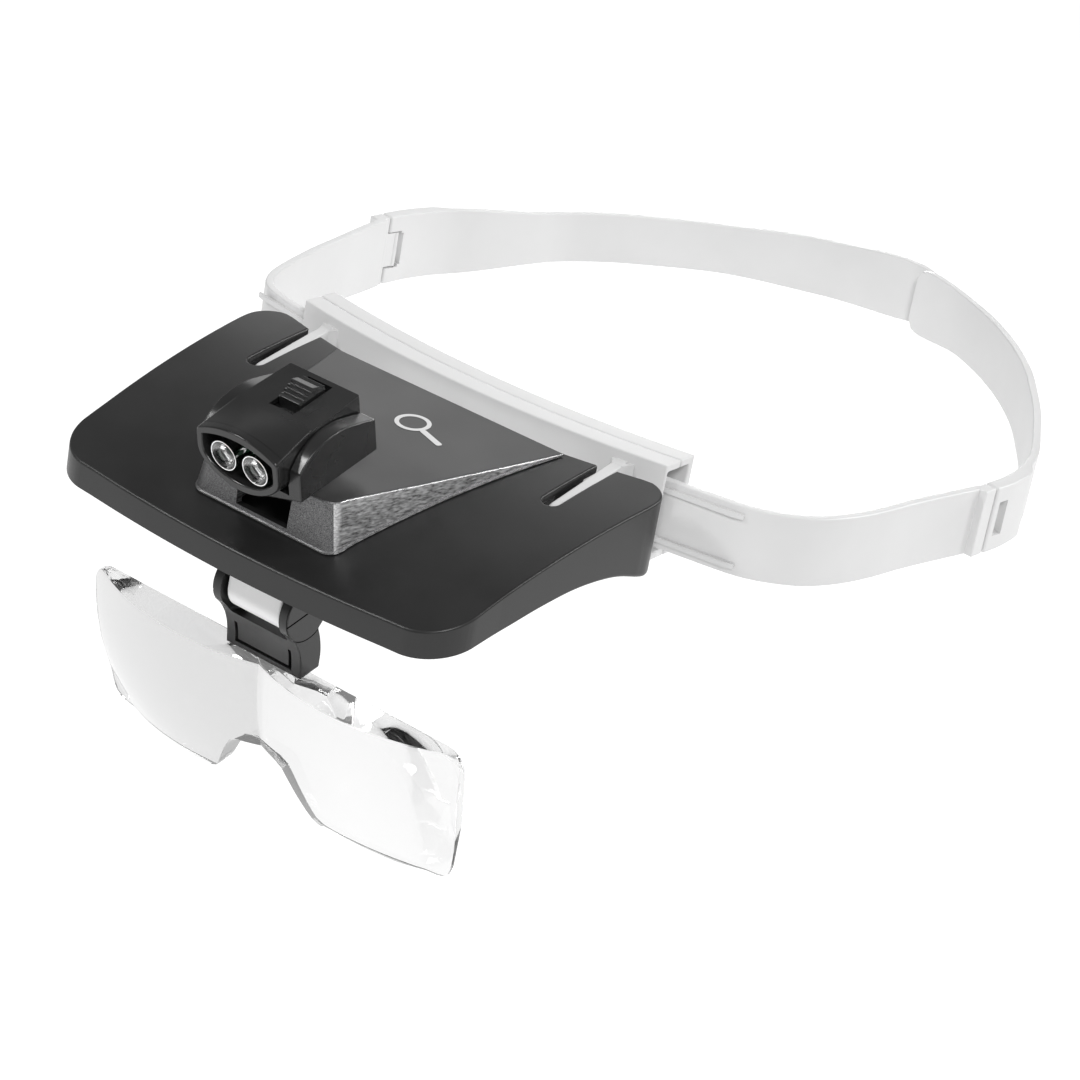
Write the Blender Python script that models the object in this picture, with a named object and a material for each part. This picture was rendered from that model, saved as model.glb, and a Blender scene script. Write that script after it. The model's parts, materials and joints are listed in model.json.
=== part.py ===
"""Head visor magnifier: a headband with a tilting visor, a tilting lamp and a folding lens.

Drawn in millimetres from a datum at the middle of the deck's rear edge, on its top surface:
+X is the wearer's left, -Y is where the wearer looks, +Z is up. Finished objects are in
metres, with the origin in the middle of the forehead pad's rear face.
"""

import bpy
import bmesh
import math
from mathutils import Matrix, Vector

MM = 0.001
GAP = 0.3                        # clearance between touching pieces

# brow bar: arcs about one centre, laid out by depth behind the bar's front face
BAR_RADIUS = 272.0
BAR_FRONT_Y = 2.9
BAR_HALF = 56.3
BAR_TOP, BAR_BOTTOM = 2.9, -22.0
FRONT_SHELL_DEPTH = 5.7
REAR_SHELL_DEPTH = 11.2
PAD_FRONT_DEPTH = 11.5
PAD_DEPTH = 14.1
FRONT_WALL = 1.0
SHELL_WALL = 1.8
FLANGE = 2.0
SCREW_X = (-26.0, -9.0, 9.0, 26.0)
FOREHEAD = Vector((0.0, BAR_FRONT_Y + PAD_DEPTH, (BAR_TOP + BAR_BOTTOM) / 2))

# visor deck
DECK_SIDE_REAR = (63.5, -8.0)
DECK_SIDE_FRONT = (60.1, -60.0)
DECK_REAR_Y, DECK_REAR_RADIUS = -4.3, 207.0
DECK_FRONT_Y, DECK_FRONT_RADIUS = -76.7, 474.0
DECK_WALL = 2.2
DECK_SKIN = 2.3
DECK_UNDERSIDE = [(6, -19.6), (-3, -19.6), (-15, -16.7), (-28, -16.1), (-40, -17.5),
                  (-50, -19.4), (-60, -21.3), (-70, -23.5), (-80, -26.2)]
SLOT_INNER, SLOT_OUTER, SLOT_FRONT = 43.2, 47.7, -22.2

# arms of the bar and the visor's tilt hinge
ARM_X, ARM_THICKNESS = 45.5, 3.0
TILT_Y, TILT_Z = -10.0, -8.0
PIN_RADIUS = 1.5
HOLE_RADIUS = 1.8

# pedestal and lamp
PEDESTAL_REAR = (-3.0, 35.2)      # y, half width
PEDESTAL_FRONT = (-66.9, 20.7)
PEDESTAL_TOP = (0.4, 0.0461)      # height at y = -1.4, slope
PEDESTAL_DRAFT = 0.19
LAMP_HINGE_Y, LAMP_HINGE_Z = -62.5, -6.0
LAMP_TILT = math.radians(16.3)
LAMP_CORNER = Vector((0.0, -67.4, 12.1))
LAMP_LENGTH, LAMP_MIDDLE = 12.8, -6.0
EYE = [(12.1, -1.8), (12.2, -7.0), (10.9, -9.6), (8.0, -11.9), (6.2, -12.8), (3.2, -13.7),
       (0.0, -14.1)]
CELL_RADIUS = 6.25

# lens carriage, bracket and lens
RAIL_TILT = math.radians(17.0)
FOLD_Y, FOLD_Z = -59.4, -35.4
BRACKET_HALF, BRACKET_ARM = 11.6, 2.6
LENS_TILT = math.atan(0.24)
LENS_TOP = Vector((0.0, -54.3, -52.4))
LENS_HALF, LENS_HEIGHT = 57.5, 39.6
LENS_CROWN_X, LENS_CROWN_S, LENS_CROWN_T, LENS_SPHERE = 23.0, 13.0, 10.5, 75.0

# straps
STRAP_Z, STRAP_THICKNESS, STRAP_HEIGHT = -10.3, 2.2, 17.6
TONGUE_INNER, TONGUE_OUTER = (35.0, 8.5), (57.0, 12.3)


# ---------------------------------------------------------------- drawing tools

def clear_scene():
    for thing in list(bpy.data.objects):
        bpy.data.objects.remove(thing, do_unlink=True)


def make_material(name, colour, roughness, metallic=0.0, alpha=1.0):
    material = bpy.data.materials.new(name)
    material.use_nodes = True
    shader = material.node_tree.nodes["Principled BSDF"]
    shader.inputs["Base Color"].default_value = (*colour, 1.0)
    shader.inputs["Roughness"].default_value = roughness
    shader.inputs["Metallic"].default_value = metallic
    shader.inputs["Alpha"].default_value = alpha
    return material


def solid(vertices, faces):
    """A scratch object from vertices in millimetres, with its faces pointing out."""
    mesh = bpy.data.meshes.new("blank")
    mesh.from_pydata([tuple(v) for v in vertices], [], faces)
    drawn = bmesh.new()
    drawn.from_mesh(mesh)
    bmesh.ops.remove_doubles(drawn, verts=drawn.verts, dist=1e-5)
    bmesh.ops.recalc_face_normals(drawn, faces=drawn.faces)
    drawn.to_mesh(mesh)
    drawn.free()
    blank = bpy.data.objects.new("blank", mesh)
    bpy.context.scene.collection.objects.link(blank)
    return blank


def loft(sections):
    """A closed solid through sections, each a loop of the same number of points."""
    count = len(sections[0])
    vertices = [point for section in sections for point in section]
    faces = [list(range(count))[::-1]]
    for row in range(len(sections) - 1):
        for i in range(count):
            j = (i + 1) % count
            a, b = row * count, (row + 1) * count
            faces.append([a + i, a + j, b + j, b + i])
    last = (len(sections) - 1) * count
    faces.append([last + i for i in range(count)])
    return solid(vertices, faces)


def prism(outline, low, high, axis):
    """An outline extruded from low to high along X, Y or Z."""
    def place(point, height):
        u, v = point
        return {"X": (height, u, v), "Y": (u, height, v), "Z": (u, v, height)}[axis]
    return loft([[place(p, low) for p in outline], [place(p, high) for p in outline]])


def box(x_range, y_range, z_range):
    (x0, x1), (y0, y1) = x_range, y_range
    return prism([(x0, y0), (x1, y0), (x1, y1), (x0, y1)], *z_range, "Z")


def circle(centre, radius, sides):
    turn = 2 * math.pi / sides
    return [(centre[0] + radius * math.cos(turn * (i + 0.5)),
             centre[1] + radius * math.sin(turn * (i + 0.5))) for i in range(sides)]


def rod(centre, radius, low, high, axis, sides=16):
    return prism(circle(centre, radius, sides), low, high, axis)


def arc(centre, radius, start, end, steps):
    """Points on an arc, angles in degrees."""
    points = []
    for i in range(steps + 1):
        angle = math.radians(start + (end - start) * i / steps)
        points.append((centre[0] + radius * math.cos(angle), centre[1] + radius * math.sin(angle)))
    return points


def turned(profile, sides):
    """A solid of revolution about Z from a profile of (radius, height), axis to axis."""
    rings = [profile[0], profile[-1]]
    middle = profile[1:-1]
    vertices = [(0, 0, rings[0][1]), (0, 0, rings[1][1])]
    for radius, height in middle:
        vertices += [(x, y, height) for x, y in circle((0, 0), radius, sides)]
    faces = []
    for i in range(sides):
        j = (i + 1) % sides
        faces.append([0, 2 + j, 2 + i])
        last = 2 + (len(middle) - 1) * sides
        faces.append([1, last + i, last + j])
        for row in range(len(middle) - 1):
            a, b = 2 + row * sides, 2 + (row + 1) * sides
            faces.append([a + i, a + j, b + j, b + i])
    return solid(vertices, faces)


def combine(base, other, operation):
    """Applies an exact Boolean of other to base, and uses other up."""
    modifier = base.modifiers.new("combine", "BOOLEAN")
    modifier.operation = operation
    modifier.solver = "EXACT"
    modifier.object = other
    bpy.context.view_layer.update()
    shape = base.evaluated_get(bpy.context.evaluated_depsgraph_get())
    mesh = bpy.data.meshes.new_from_object(shape)
    base.modifiers.clear()
    base.data = mesh
    bpy.data.objects.remove(other, do_unlink=True)
    return base


def cut(base, *others):
    for other in others:
        combine(base, other, "DIFFERENCE")
    return base


def join(base, *others):
    for other in others:
        combine(base, other, "UNION")
    return base


def common(base, other):
    return combine(base, other, "INTERSECT")


def moved(blank, matrix):
    blank.data.transform(matrix)
    return blank


def curve_through(points, steps):
    """A smooth Catmull-Rom curve through the points."""
    ends = [[2 * a - b for a, b in zip(points[i], points[j])] for i, j in ((0, 1), (-1, -2))]
    line = [ends[0], *points, ends[1]]
    smooth = []
    for i in range(1, len(line) - 2):
        for k in range(steps):
            t = k / steps
            smooth.append(tuple(
                0.5 * (2 * b + (c - a) * t + (2 * a - 5 * b + 4 * c - d) * t * t
                       + (3 * b - a - 3 * c + d) * t ** 3)
                for a, b, c, d in zip(*line[i - 1:i + 3])))
    return smooth + [tuple(points[-1])]


def between(x, table):
    """Straight-line value at x from (x, value) pairs sorted by x."""
    for (x0, v0), (x1, v1) in zip(table, table[1:]):
        if x <= x1:
            share = max(0.0, (x - x0) / (x1 - x0))
            return v0 + (v1 - v0) * share
    return table[-1][1]


# ---------------------------------------------------------------- bodies

PIVOTS = {
    "headband": FOREHEAD,
    "visor": Vector((0, TILT_Y, TILT_Z)),
    "lamp": Vector((0, LAMP_HINGE_Y, LAMP_HINGE_Z)),
    "lamp_switch": LAMP_CORNER,
    "lens_carriage": Vector((0, FOLD_Y, FOLD_Z)),
    "lens_holder": Vector((0, FOLD_Y, FOLD_Z)),
    "front_strap_left": Vector((TONGUE_OUTER[0], TONGUE_OUTER[1], STRAP_Z)),
    "front_strap_right": Vector((-TONGUE_OUTER[0], TONGUE_OUTER[1], STRAP_Z)),
}
PARENTS = {
    "visor": "headband", "lamp": "visor", "lamp_switch": "lamp", "lens_carriage": "visor",
    "lens_holder": "lens_carriage", "front_strap_left": "headband",
    "front_strap_right": "headband", "rear_strap_left": "front_strap_left",
    "rear_strap_right": "front_strap_right",
}
FRAMES = {}


def body_frame(body):
    """The empty on a body's joint axis, made on first use."""
    if body not in FRAMES:
        frame = bpy.data.objects.new(body + "_frame", None)
        bpy.context.scene.collection.objects.link(frame)
        parent = PARENTS.get(body)
        start = PIVOTS[parent] if parent else FOREHEAD
        frame.parent = body_frame(parent) if parent else None
        frame.location = (PIVOTS[body] - start) * MM
        FRAMES[body] = frame
    return FRAMES[body]


def finish(blank, name, material, body, smooth_angle=35.0):
    """Turns a drawn blank into a named object in metres, on its body's frame."""
    blank.name = name
    blank.data.name = name
    blank.data.transform(Matrix.Scale(MM, 4) @ Matrix.Translation(-PIVOTS[body]))
    blank.data.materials.clear()
    blank.data.materials.append(material)
    blank.data.shade_smooth()
    blank.data.set_sharp_from_angle(angle=math.radians(smooth_angle))
    blank.parent = body_frame(body)
    return blank


# ---------------------------------------------------------------- brow bar

def bar_point(x, depth):
    """The plan point of the bar at x, so far behind its front face."""
    radius = BAR_RADIUS - depth
    return (x, BAR_FRONT_Y + BAR_RADIUS - math.sqrt(radius ** 2 - x ** 2))


def bar_sweep(section, half, stations):
    """Sweeps a (depth, z) section along the bar, an odd number of facets wide."""
    rows = []
    for i in range(stations + 1):
        x = -half + 2 * half * i / stations
        rows.append([(*bar_point(x, depth), z) for depth, z in section])
    return loft(rows)


def arm(side):
    """One pivot arm: a plate with a falling ridge, a round nose and an ear for the pin."""
    nose = arc((-17.2, -7.0), 2.6, 100, 215, 4)
    outline = [(7.2, 0.6), (6.0, 0.6)] + nose
    outline += arc((TILT_Y, TILT_Z), 4.4, 215, 270, 3) + [(1.0, -14.0), (7.2, -15.4)]
    x0 = side * ARM_X - ARM_THICKNESS / 2
    plate = prism(outline, x0, x0 + ARM_THICKNESS, "X")
    root = [(-3.0, 6.8), (-3.0, 6.2), (-1.4, 4.0), (1.4, 4.0), (3.0, 7.2), (3.0, 7.8)]
    join(plate, prism([(side * (ARM_X + x), y) for x, y in root], -15.0, 0.3, "Z"))
    return cut(plate, rod((TILT_Y, TILT_Z), HOLE_RADIUS, x0 - 1, x0 + ARM_THICKNESS + 1, "X"))


def bar_front_shell(material):
    """C-shaped front half of the bar, with the two arms and four screw bosses."""
    back = FRONT_SHELL_DEPTH
    section = [(0, BAR_BOTTOM), (back, BAR_BOTTOM), (back, BAR_BOTTOM + FLANGE),
               (FRONT_WALL, BAR_BOTTOM + FLANGE), (FRONT_WALL, BAR_TOP - FLANGE),
               (back, BAR_TOP - FLANGE), (back, BAR_TOP), (0, BAR_TOP)]
    shell = bar_sweep(section, BAR_HALF, 15)
    for side in (-1, 1):
        join(shell, arm(side))
    for x in SCREW_X:
        start, end = bar_point(x, FRONT_WALL / 2)[1], bar_point(x, back)[1]
        boss = rod((x, FOREHEAD.z), 3.0, start, end, "Y", 12)
        join(shell, boss)
        cut(shell, rod((x, FOREHEAD.z), 1.5, start + 1.6, end + 1, "Y", 12))
    finish(shell, "bar_front_shell", material, "headband")


def bar_rear_shell(material):
    """C-shaped rear half of the bar, with counterbored screw holes."""
    front, back = FRONT_SHELL_DEPTH + GAP, REAR_SHELL_DEPTH
    section = [(front, BAR_BOTTOM), (back, BAR_BOTTOM), (back, BAR_TOP), (front, BAR_TOP),
               (front, BAR_TOP - FLANGE), (back - SHELL_WALL, BAR_TOP - FLANGE),
               (back - SHELL_WALL, BAR_BOTTOM + FLANGE), (front, BAR_BOTTOM + FLANGE)]
    shell = bar_sweep(section, BAR_HALF, 15)
    for x in SCREW_X:
        start, end = bar_point(x, front)[1], bar_point(x, back)[1]
        join(shell, rod((x, FOREHEAD.z), 3.6, start + 0.1, end - 0.6, "Y", 12))
        cut(shell, rod((x, FOREHEAD.z), 1.5, start - 1, end + 1, "Y", 12),
            rod((x, FOREHEAD.z), 2.6, end - 1.7, end + 1, "Y", 12))
    finish(shell, "bar_rear_shell", material, "headband")


def bar_screws(material):
    """Self-tapping screws that hold the two halves of the bar together."""
    for number, x in enumerate(SCREW_X, 1):
        head = bar_point(x, REAR_SHELL_DEPTH)[1] - 0.3
        screw = turned([(0, 0), (2.2, 0), (2.2, 1.0), (1.1, 1.5), (1.1, 7.4), (0.5, 8.0),
                        (0, 8.0)], 10)
        cut(screw, prism([(-0.35, -1.3), (0.35, -1.3), (0.35, 1.3), (-0.35, 1.3)], -1, 0.5, "Z"),
            prism([(-1.3, -0.35), (1.3, -0.35), (1.3, 0.35), (-1.3, 0.35)], -1, 0.5, "Z"))
        moved(screw, Matrix.Translation((x, head, FOREHEAD.z)) @ Matrix.Rotation(math.pi / 2, 4, "X"))
        finish(screw, f"bar_screw_{number}", material, "headband")


def forehead_pad(material):
    """The soft pad behind the bar, with softened ends."""
    low, high = BAR_BOTTOM + 1.0, BAR_TOP - 1.0
    facets = 15
    half = BAR_HALF - 1.0
    rows = []
    for i in range(facets + 1):
        x = -half + 2 * half * i / facets
        end = 1.4 if i in (0, facets) else 0.0
        deep = PAD_DEPTH - (1.2 if i in (0, facets) else 0.0)
        section = [(PAD_FRONT_DEPTH, low + end), (deep - 0.8, low + end), (deep, low + end + 0.8),
                   (deep, high - end - 0.8), (deep - 0.8, high - end), (PAD_FRONT_DEPTH, high - end)]
        rows.append([(*bar_point(x, depth), z) for depth, z in section])
    finish(loft(rows), "forehead_pad", material, "headband")


# ---------------------------------------------------------------- straps

def ribbon(path, outward, thickness, height):
    """A band along a plan path; thickness and height are functions of the path's share."""
    sections = []
    lengths = [0.0]
    for a, b in zip(path, path[1:]):
        lengths.append(lengths[-1] + math.dist(a, b))
    for i, point in enumerate(path):
        a, b = path[max(i - 1, 0)], path[min(i + 1, len(path) - 1)]
        tangent = Vector((b[0] - a[0], b[1] - a[1])).normalized()
        normal = Vector((tangent.y, -tangent.x)) * outward
        share = lengths[i] / lengths[-1]
        inner = Vector(point) - normal * STRAP_THICKNESS / 2
        outer = inner + normal * thickness(share)
        half = height(share) / 2
        sections.append([(*inner, STRAP_Z - half), (*outer, STRAP_Z - half),
                         (*outer, STRAP_Z + half), (*inner, STRAP_Z + half)])
    return loft(sections)


def mirrored(points, side):
    return [(side * x, y) for x, y in points]


# Plan of each side from the bar back to the joint, then on to the free end.
FRONT_PATHS = {
    "left": [TONGUE_INNER, TONGUE_OUTER, (70, 14.7), (77, 16.6), (83, 20.3), (88.3, 25.6),
             (92.3, 33.5), (95, 43), (97.2, 56), (100, 69), (102.4, 79.5)],
    "right": [TONGUE_INNER, TONGUE_OUTER, (68.5, 14.6), (75.6, 18.0), (80, 24), (83, 32.5),
              (86.3, 47), (87.7, 58), (89.2, 70), (90.6, 81.5)],
}
REAR_PATHS = {
    "left": [(102.8, 81.8), (103.3, 90), (102.2, 101), (98.5, 112), (92, 124.4), (84.9, 137),
             (77, 149), (69, 160.3), (60, 170.6), (50.3, 179.8), (39.5, 188), (27.6, 194.6),
             (11, 199.6)],
    "right": [(91, 83.8), (90, 93), (87.3, 103.5), (82.3, 115.4), (76.8, 129), (72.4, 139.8),
              (66.3, 150.8), (59, 160.5), (42.6, 177.8), (23.8, 191.3), (3, 200.5), (-15, 204)],
}
JOINT_HEIGHT = {"left": STRAP_HEIGHT, "right": 19.6}
REAR_HEIGHTS = {
    "left": [(0.0, STRAP_HEIGHT), (0.85, STRAP_HEIGHT - 0.8), (0.97, 19.0), (0.99, 17.5),
             (1.0, 13.0)],
    "right": [(0.0, 19.6), (0.12, 19.0), (0.35, 14.6), (0.62, 14.4), (0.80, 16.6), (0.93, 18.0),
              (0.98, 16.4), (1.0, 11.0)],
}
REAR_THICKNESS = [(0.0, 3.9), (0.10, 3.9), (0.13, STRAP_THICKNESS), (1.0, STRAP_THICKNESS)]
KNUCKLE = 3.2                    # from the seam to the strap joint's axis
SIDES = {"left": 1, "right": -1}
STRAP_PIVOTS = {}
for hand, sign in SIDES.items():
    seam, step = REAR_PATHS[hand][0], REAR_PATHS[hand][1]
    along = Vector((step[0] - seam[0], step[1] - seam[1])).normalized()
    hinge = Vector(seam) + along * KNUCKLE
    STRAP_PIVOTS[hand] = (hinge, along)
    PIVOTS["rear_strap_" + hand] = Vector((sign * hinge.x, hinge.y, STRAP_Z))


def joint_frame(hand):
    """Local axes at a strap joint: x along the strap to the rear, y outwards, z up."""
    hinge, along = STRAP_PIVOTS[hand]
    side = SIDES[hand]
    x_axis = Vector((side * along.x, along.y, 0))
    y_axis = Vector((side * along.y, -along.x, 0))
    origin = Vector((side * hinge.x, hinge.y, STRAP_Z))
    rows = [(x_axis[i], y_axis[i], (0, 0, 1)[i], origin[i]) for i in range(3)]
    return Matrix(rows + [(0, 0, 0, 1)])


def front_strap(hand, material):
    """Front strap: straight tongue in the bar, rails, the bend, and a hook for the rear strap."""
    side = SIDES[hand]
    path = mirrored(curve_through(FRONT_PATHS[hand], 3), side)
    # the tongue's first stretch stays straight
    straight = [p for p in path if abs(p[0]) >= TONGUE_OUTER[0] - 0.01]
    path = mirrored([TONGUE_INNER], side) + straight
    end_height = JOINT_HEIGHT[hand]
    heights = [(0.0, STRAP_HEIGHT), (0.62, STRAP_HEIGHT), (1.0, end_height)]
    strap = ribbon(path, side, lambda s: STRAP_THICKNESS, lambda s: between(s, heights))
    start, along = Vector(TONGUE_INNER), Vector(TONGUE_OUTER) - Vector(TONGUE_INNER)
    reach = along.length
    angle = math.atan2(along.y, along.x)
    frame = Matrix.Translation((start.x, start.y, STRAP_Z)) @ Matrix.Rotation(angle, 4, "Z")
    if side < 0:
        frame = Matrix.Scale(-1, 4, (1, 0, 0)) @ frame
    outer = -STRAP_THICKNESS / 2
    for z in (-STRAP_HEIGHT / 2 + 2.4, STRAP_HEIGHT / 2 - 2.4):
        join(strap, moved_solid(box((1.0, reach + 19.0), (outer - 0.6, outer + 0.5),
                                    (z - 0.7, z + 0.7)), frame))
    if hand == "right":
        for i in range(4):
            z = -0.6 + 1.5 * i
            join(strap, moved_solid(box((reach + 1.5, reach + 10.0), (outer - 0.45, outer + 0.5),
                                        (z - 0.3, z + 0.3)), frame))
    # hook: a narrower tongue that ends in a round knuckle with a nub above and below
    inward = -STRAP_THICKNESS / 2
    hook = box((-KNUCKLE - 1.4, 0.0), (inward + 0.4, inward + 1.8), (-4.9, 4.9))
    knuckle = rod((0.0, inward + 1.1), 1.0, -4.9, 4.9, "Z", 10)
    nubs = rod((0.0, inward + 1.1), 0.6, -5.9, 5.9, "Z", 8)
    thick_end = box((-KNUCKLE - 5.0, -KNUCKLE - 0.5), (inward, inward + 3.6),
                    (-end_height / 2, end_height / 2))
    join(thick_end, hook, knuckle, nubs)
    moved_solid(thick_end, joint_frame(hand))
    join(strap, thick_end)
    finish(strap, f"front_strap_{hand}", material, "front_strap_" + hand)


def moved_solid(blank, matrix):
    """Moves a blank and keeps its faces pointing out when the move mirrors it."""
    moved(blank, matrix)
    if matrix.determinant() < 0:
        blank.data.flip_normals()
    return blank


def rear_strap(hand, material):
    """Rear strap: a thick forked end with the hook's window, and a band with a rounded tip."""
    side = SIDES[hand]
    path = mirrored(curve_through(REAR_PATHS[hand], 2), side)
    strap = ribbon(path, side, lambda s: between(s, REAR_THICKNESS),
                   lambda s: between(s, REAR_HEIGHTS[hand]))
    frame = joint_frame(hand)
    inward = -STRAP_THICKNESS / 2
    socket = box((-KNUCKLE - 1.0, 1.6), (inward - 1.0, inward + 2.8), (-5.3, 5.3))
    window = box((-1.2, 2.4), (inward - 2.0, inward + 6.0), (-4.6, 4.6))
    pits = rod((0.0, inward + 1.1), 1.0, -6.4, 6.4, "Z", 8)
    for cutter in (socket, window, pits):
        cut(strap, moved_solid(cutter, frame))
    finish(strap, f"rear_strap_{hand}", material, "rear_strap_" + hand)


# ---------------------------------------------------------------- visor deck

def deck_top(y):
    return 0.1028 * y - 0.00186 * y * y


def deck_outline(inset, open_rear=0.0):
    """Half-turn of the deck's plan, mirrored; an inset one can run out behind the rear edge."""
    def rear(x):
        return DECK_REAR_Y + x * x / (2 * DECK_REAR_RADIUS) + open_rear
    side_x, side_y = DECK_SIDE_REAR[0] - inset, DECK_SIDE_REAR[1]
    front_x = DECK_SIDE_FRONT[0] - inset
    front_y = DECK_FRONT_Y + inset
    half = [(x, rear(x)) for x in (0, 12, 24, 36, 46)]
    if open_rear:
        half += [(side_x + 0.5, rear(55)), (side_x, side_y)]
    else:
        half += [(54.5, rear(54.5))] + arc((55.5, -4.7), 8.0, 80, -8, 6)
        half[-1] = (side_x, side_y + 2)
    half += [(front_x + 0.3, -55.0)]
    corner = 12.5 - inset
    bow = 47.0 ** 2 / (2 * DECK_FRONT_RADIUS)
    half += arc((front_x - corner, front_y + bow + corner), corner, 0, -84, 7)
    half += [(x, front_y + x * x / (2 * DECK_FRONT_RADIUS)) for x in (36, 24, 12, 0)]
    return half + [(-x, y) for x, y in half[-2:0:-1]]


def deck_profile(top_offset, bottom):
    """Side view (y, z): the deck's top curve lowered by top_offset, closed by a bottom line."""
    top = [(y, deck_top(y) - top_offset) for y in range(8, -86, -6)]
    return top + bottom[::-1]


def visor_deck(material):
    """The visor's shell, with arm slots, hinge bosses and the lens carriage's rails."""
    under = curve_through(DECK_UNDERSIDE, 2)
    deck = prism(deck_outline(0.0), -60, 20, "Z")
    common(deck, prism(deck_profile(0.0, [(10, -19.6)] + under + [(-84, -28)]), -80, 80, "X"))
    hollow = prism(deck_outline(DECK_WALL, 20.0), -70, 20, "Z")
    common(hollow, prism(deck_profile(DECK_SKIN, [(40, -60), (-90, -60)]), -80, 80, "X"))
    cut(deck, hollow)
    for side in (-1, 1):
        x0, x1 = sorted((side * SLOT_INNER, side * SLOT_OUTER))
        for a, b in ((x0 - 4.4, x0 + 0.1), (x1 - 0.1, x1 + 4.4)):
            boss = [(-15.5, -2.4), (-4.8, -1.2), (-4.8, -9.0)] + arc((TILT_Y, TILT_Z), 4.2, -10, -170, 6)
            boss += [(-15.5, -9.0)]
            join(deck, prism(boss, a, b, "X"))
        slot = [(x0, 10), (x0, SLOT_FRONT + 1.2), (x0 + 1.2, SLOT_FRONT), (x1 - 1.2, SLOT_FRONT),
                (x1, SLOT_FRONT + 1.2), (x1, 10)]
        cut(deck, prism(slot, -30, 8, "Z"), rod((TILT_Y, TILT_Z), HOLE_RADIUS, x0 - 8, x1 + 8, "X"))
    for side in (-1, 1):
        guide = [(8.9, -5.2), (14.6, -5.2), (14.6, 1.4), (12.9, 1.4), (12.9, -3.4), (8.9, -3.4)]
        guide = [(side * x, w) for x, w in guide]
        join(deck, moved(prism(guide, -13.5, 26.5, "Y"), rail_frame()))
    finish(deck, "visor_deck", material, "visor")


def rail_frame():
    """Local axes of the carriage rails: y along the rail to the rear, z square to it."""
    foot = Vector((0, FOLD_Y, deck_top(FOLD_Y) - DECK_SKIN - 0.6))
    return Matrix.Translation(foot) @ Matrix.Rotation(RAIL_TILT, 4, "X")


def visor_pins(material):
    for hand, side in SIDES.items():
        x0, x1 = sorted((side * (SLOT_INNER - 3.9), side * (SLOT_OUTER + 3.9)))
        pin = rod((TILT_Y, TILT_Z), PIN_RADIUS, x0, x1, "X", 14)
        finish(pin, f"visor_pin_{hand}", material, "visor")


# ---------------------------------------------------------------- pedestal

def pedestal_half(y):
    (rear_y, rear_x), (front_y, front_x) = PEDESTAL_REAR, PEDESTAL_FRONT
    return front_x + (rear_x - front_x) * (y - front_y) / (rear_y - front_y)


def pedestal_top(y):
    height, slope = PEDESTAL_TOP
    return height + slope * (y + 1.4)


def pedestal_block(inset, stations, lower, drop):
    """A wedge with drafted sides, from lower(y) to the sloping top lowered by drop."""
    sections = []
    for y, corner in stations:
        bottom, top = lower(y), pedestal_top(y) - drop
        wide = pedestal_half(y) - inset - corner
        narrow = wide - PEDESTAL_DRAFT * (pedestal_top(y) - deck_top(y))
        sections.append([(-wide, y, bottom), (wide, y, bottom), (narrow, y, top), (-narrow, y, top)])
    return loft(sections)


def lamp_pedestal(material):
    """The raised wedge that carries the lamp: hollow, open below and at the front."""
    stations = [(PEDESTAL_REAR[0], 0.0)] + [(y, 0.0) for y in range(-9, -62, -6)]
    stations += [(-64.0, 0.0), (-65.6, 0.6), (-66.6, 1.7), (PEDESTAL_FRONT[0], 3.0)]
    wedge = pedestal_block(0.0, stations, lambda y: deck_top(y) + GAP, 0.0)
    hollow = [(-34.0, 0.0), (-44.0, 0.0), (-54.0, 0.0), (-63.6, 0.0), (-64.8, 1.0)]
    cut(wedge, pedestal_block(2.0, hollow, lambda y: -30.0, 1.8))
    for side in (-1, 1):
        x0, x1 = sorted((side * 8.3, side * 11.0))
        cheek = prism([(-65.5, -14.0), (-65.5, -3.2), (-57.5, -3.0), (-57.5, -11.0)], x0, x1, "X")
        join(wedge, cheek)
    mouth = [(-7.7, -13.4), (7.7, -13.4), (8.2, 4.0), (-8.2, 4.0)]
    cut(wedge, prism(mouth, -70.0, -56.0, "Y"))
    cut(wedge, rod((LAMP_HINGE_Y, LAMP_HINGE_Z), HOLE_RADIUS, -12, 12, "X"))
    finish(wedge, "lamp_pedestal", material, "visor")


# ---------------------------------------------------------------- lamp

def lamp_frame():
    """Local axes of the lamp: x across, y forwards out of the lamp, z up from its top plate."""
    forward = Vector((0, -math.cos(LAMP_TILT), -math.sin(LAMP_TILT)))
    upward = Vector((0, -math.sin(LAMP_TILT), math.cos(LAMP_TILT)))
    rows = [((1, 0, 0)[i], forward[i], upward[i], LAMP_CORNER[i]) for i in range(3)]
    return Matrix(rows + [(0, 0, 0, 1)])


def in_lamp(blank):
    return moved_solid(blank, lamp_frame())


def lamp_section(y, shrink=0.0):
    """The lamp head's cross-section at y: a flat box at the rear, an eye shape at the front."""
    front = max(0.0, min(1.0, y / LAMP_LENGTH)) ** 1.15
    half = 10.4 + 0.7 * (min(y, 0.0) + 16.8) / 16.8
    square = [(half, 0.0), (half, -7.6), (half, -9.6), (half - 0.3, -11.9), (half - 3.2, -11.9),
              (half - 5.6, -11.9), (0.0, -11.9)]
    right = [(a + (c - a) * front, b + (d - b) * front) for (a, b), (c, d) in zip(square, EYE)]
    (wide, shoulder), crown = right[0], 1.25 * front
    ring = right + [(-x, z) for x, z in right[-2::-1]]
    ring += [(wide * k / 3, shoulder + (crown - shoulder) * (1 - k * k / 9)) for k in (-2, -1, 0, 1, 2)]
    return [(x * (1 - shrink / half), y, LAMP_MIDDLE + (z - LAMP_MIDDLE) * (1 - shrink / 6.0))
            for x, z in ring]


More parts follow.
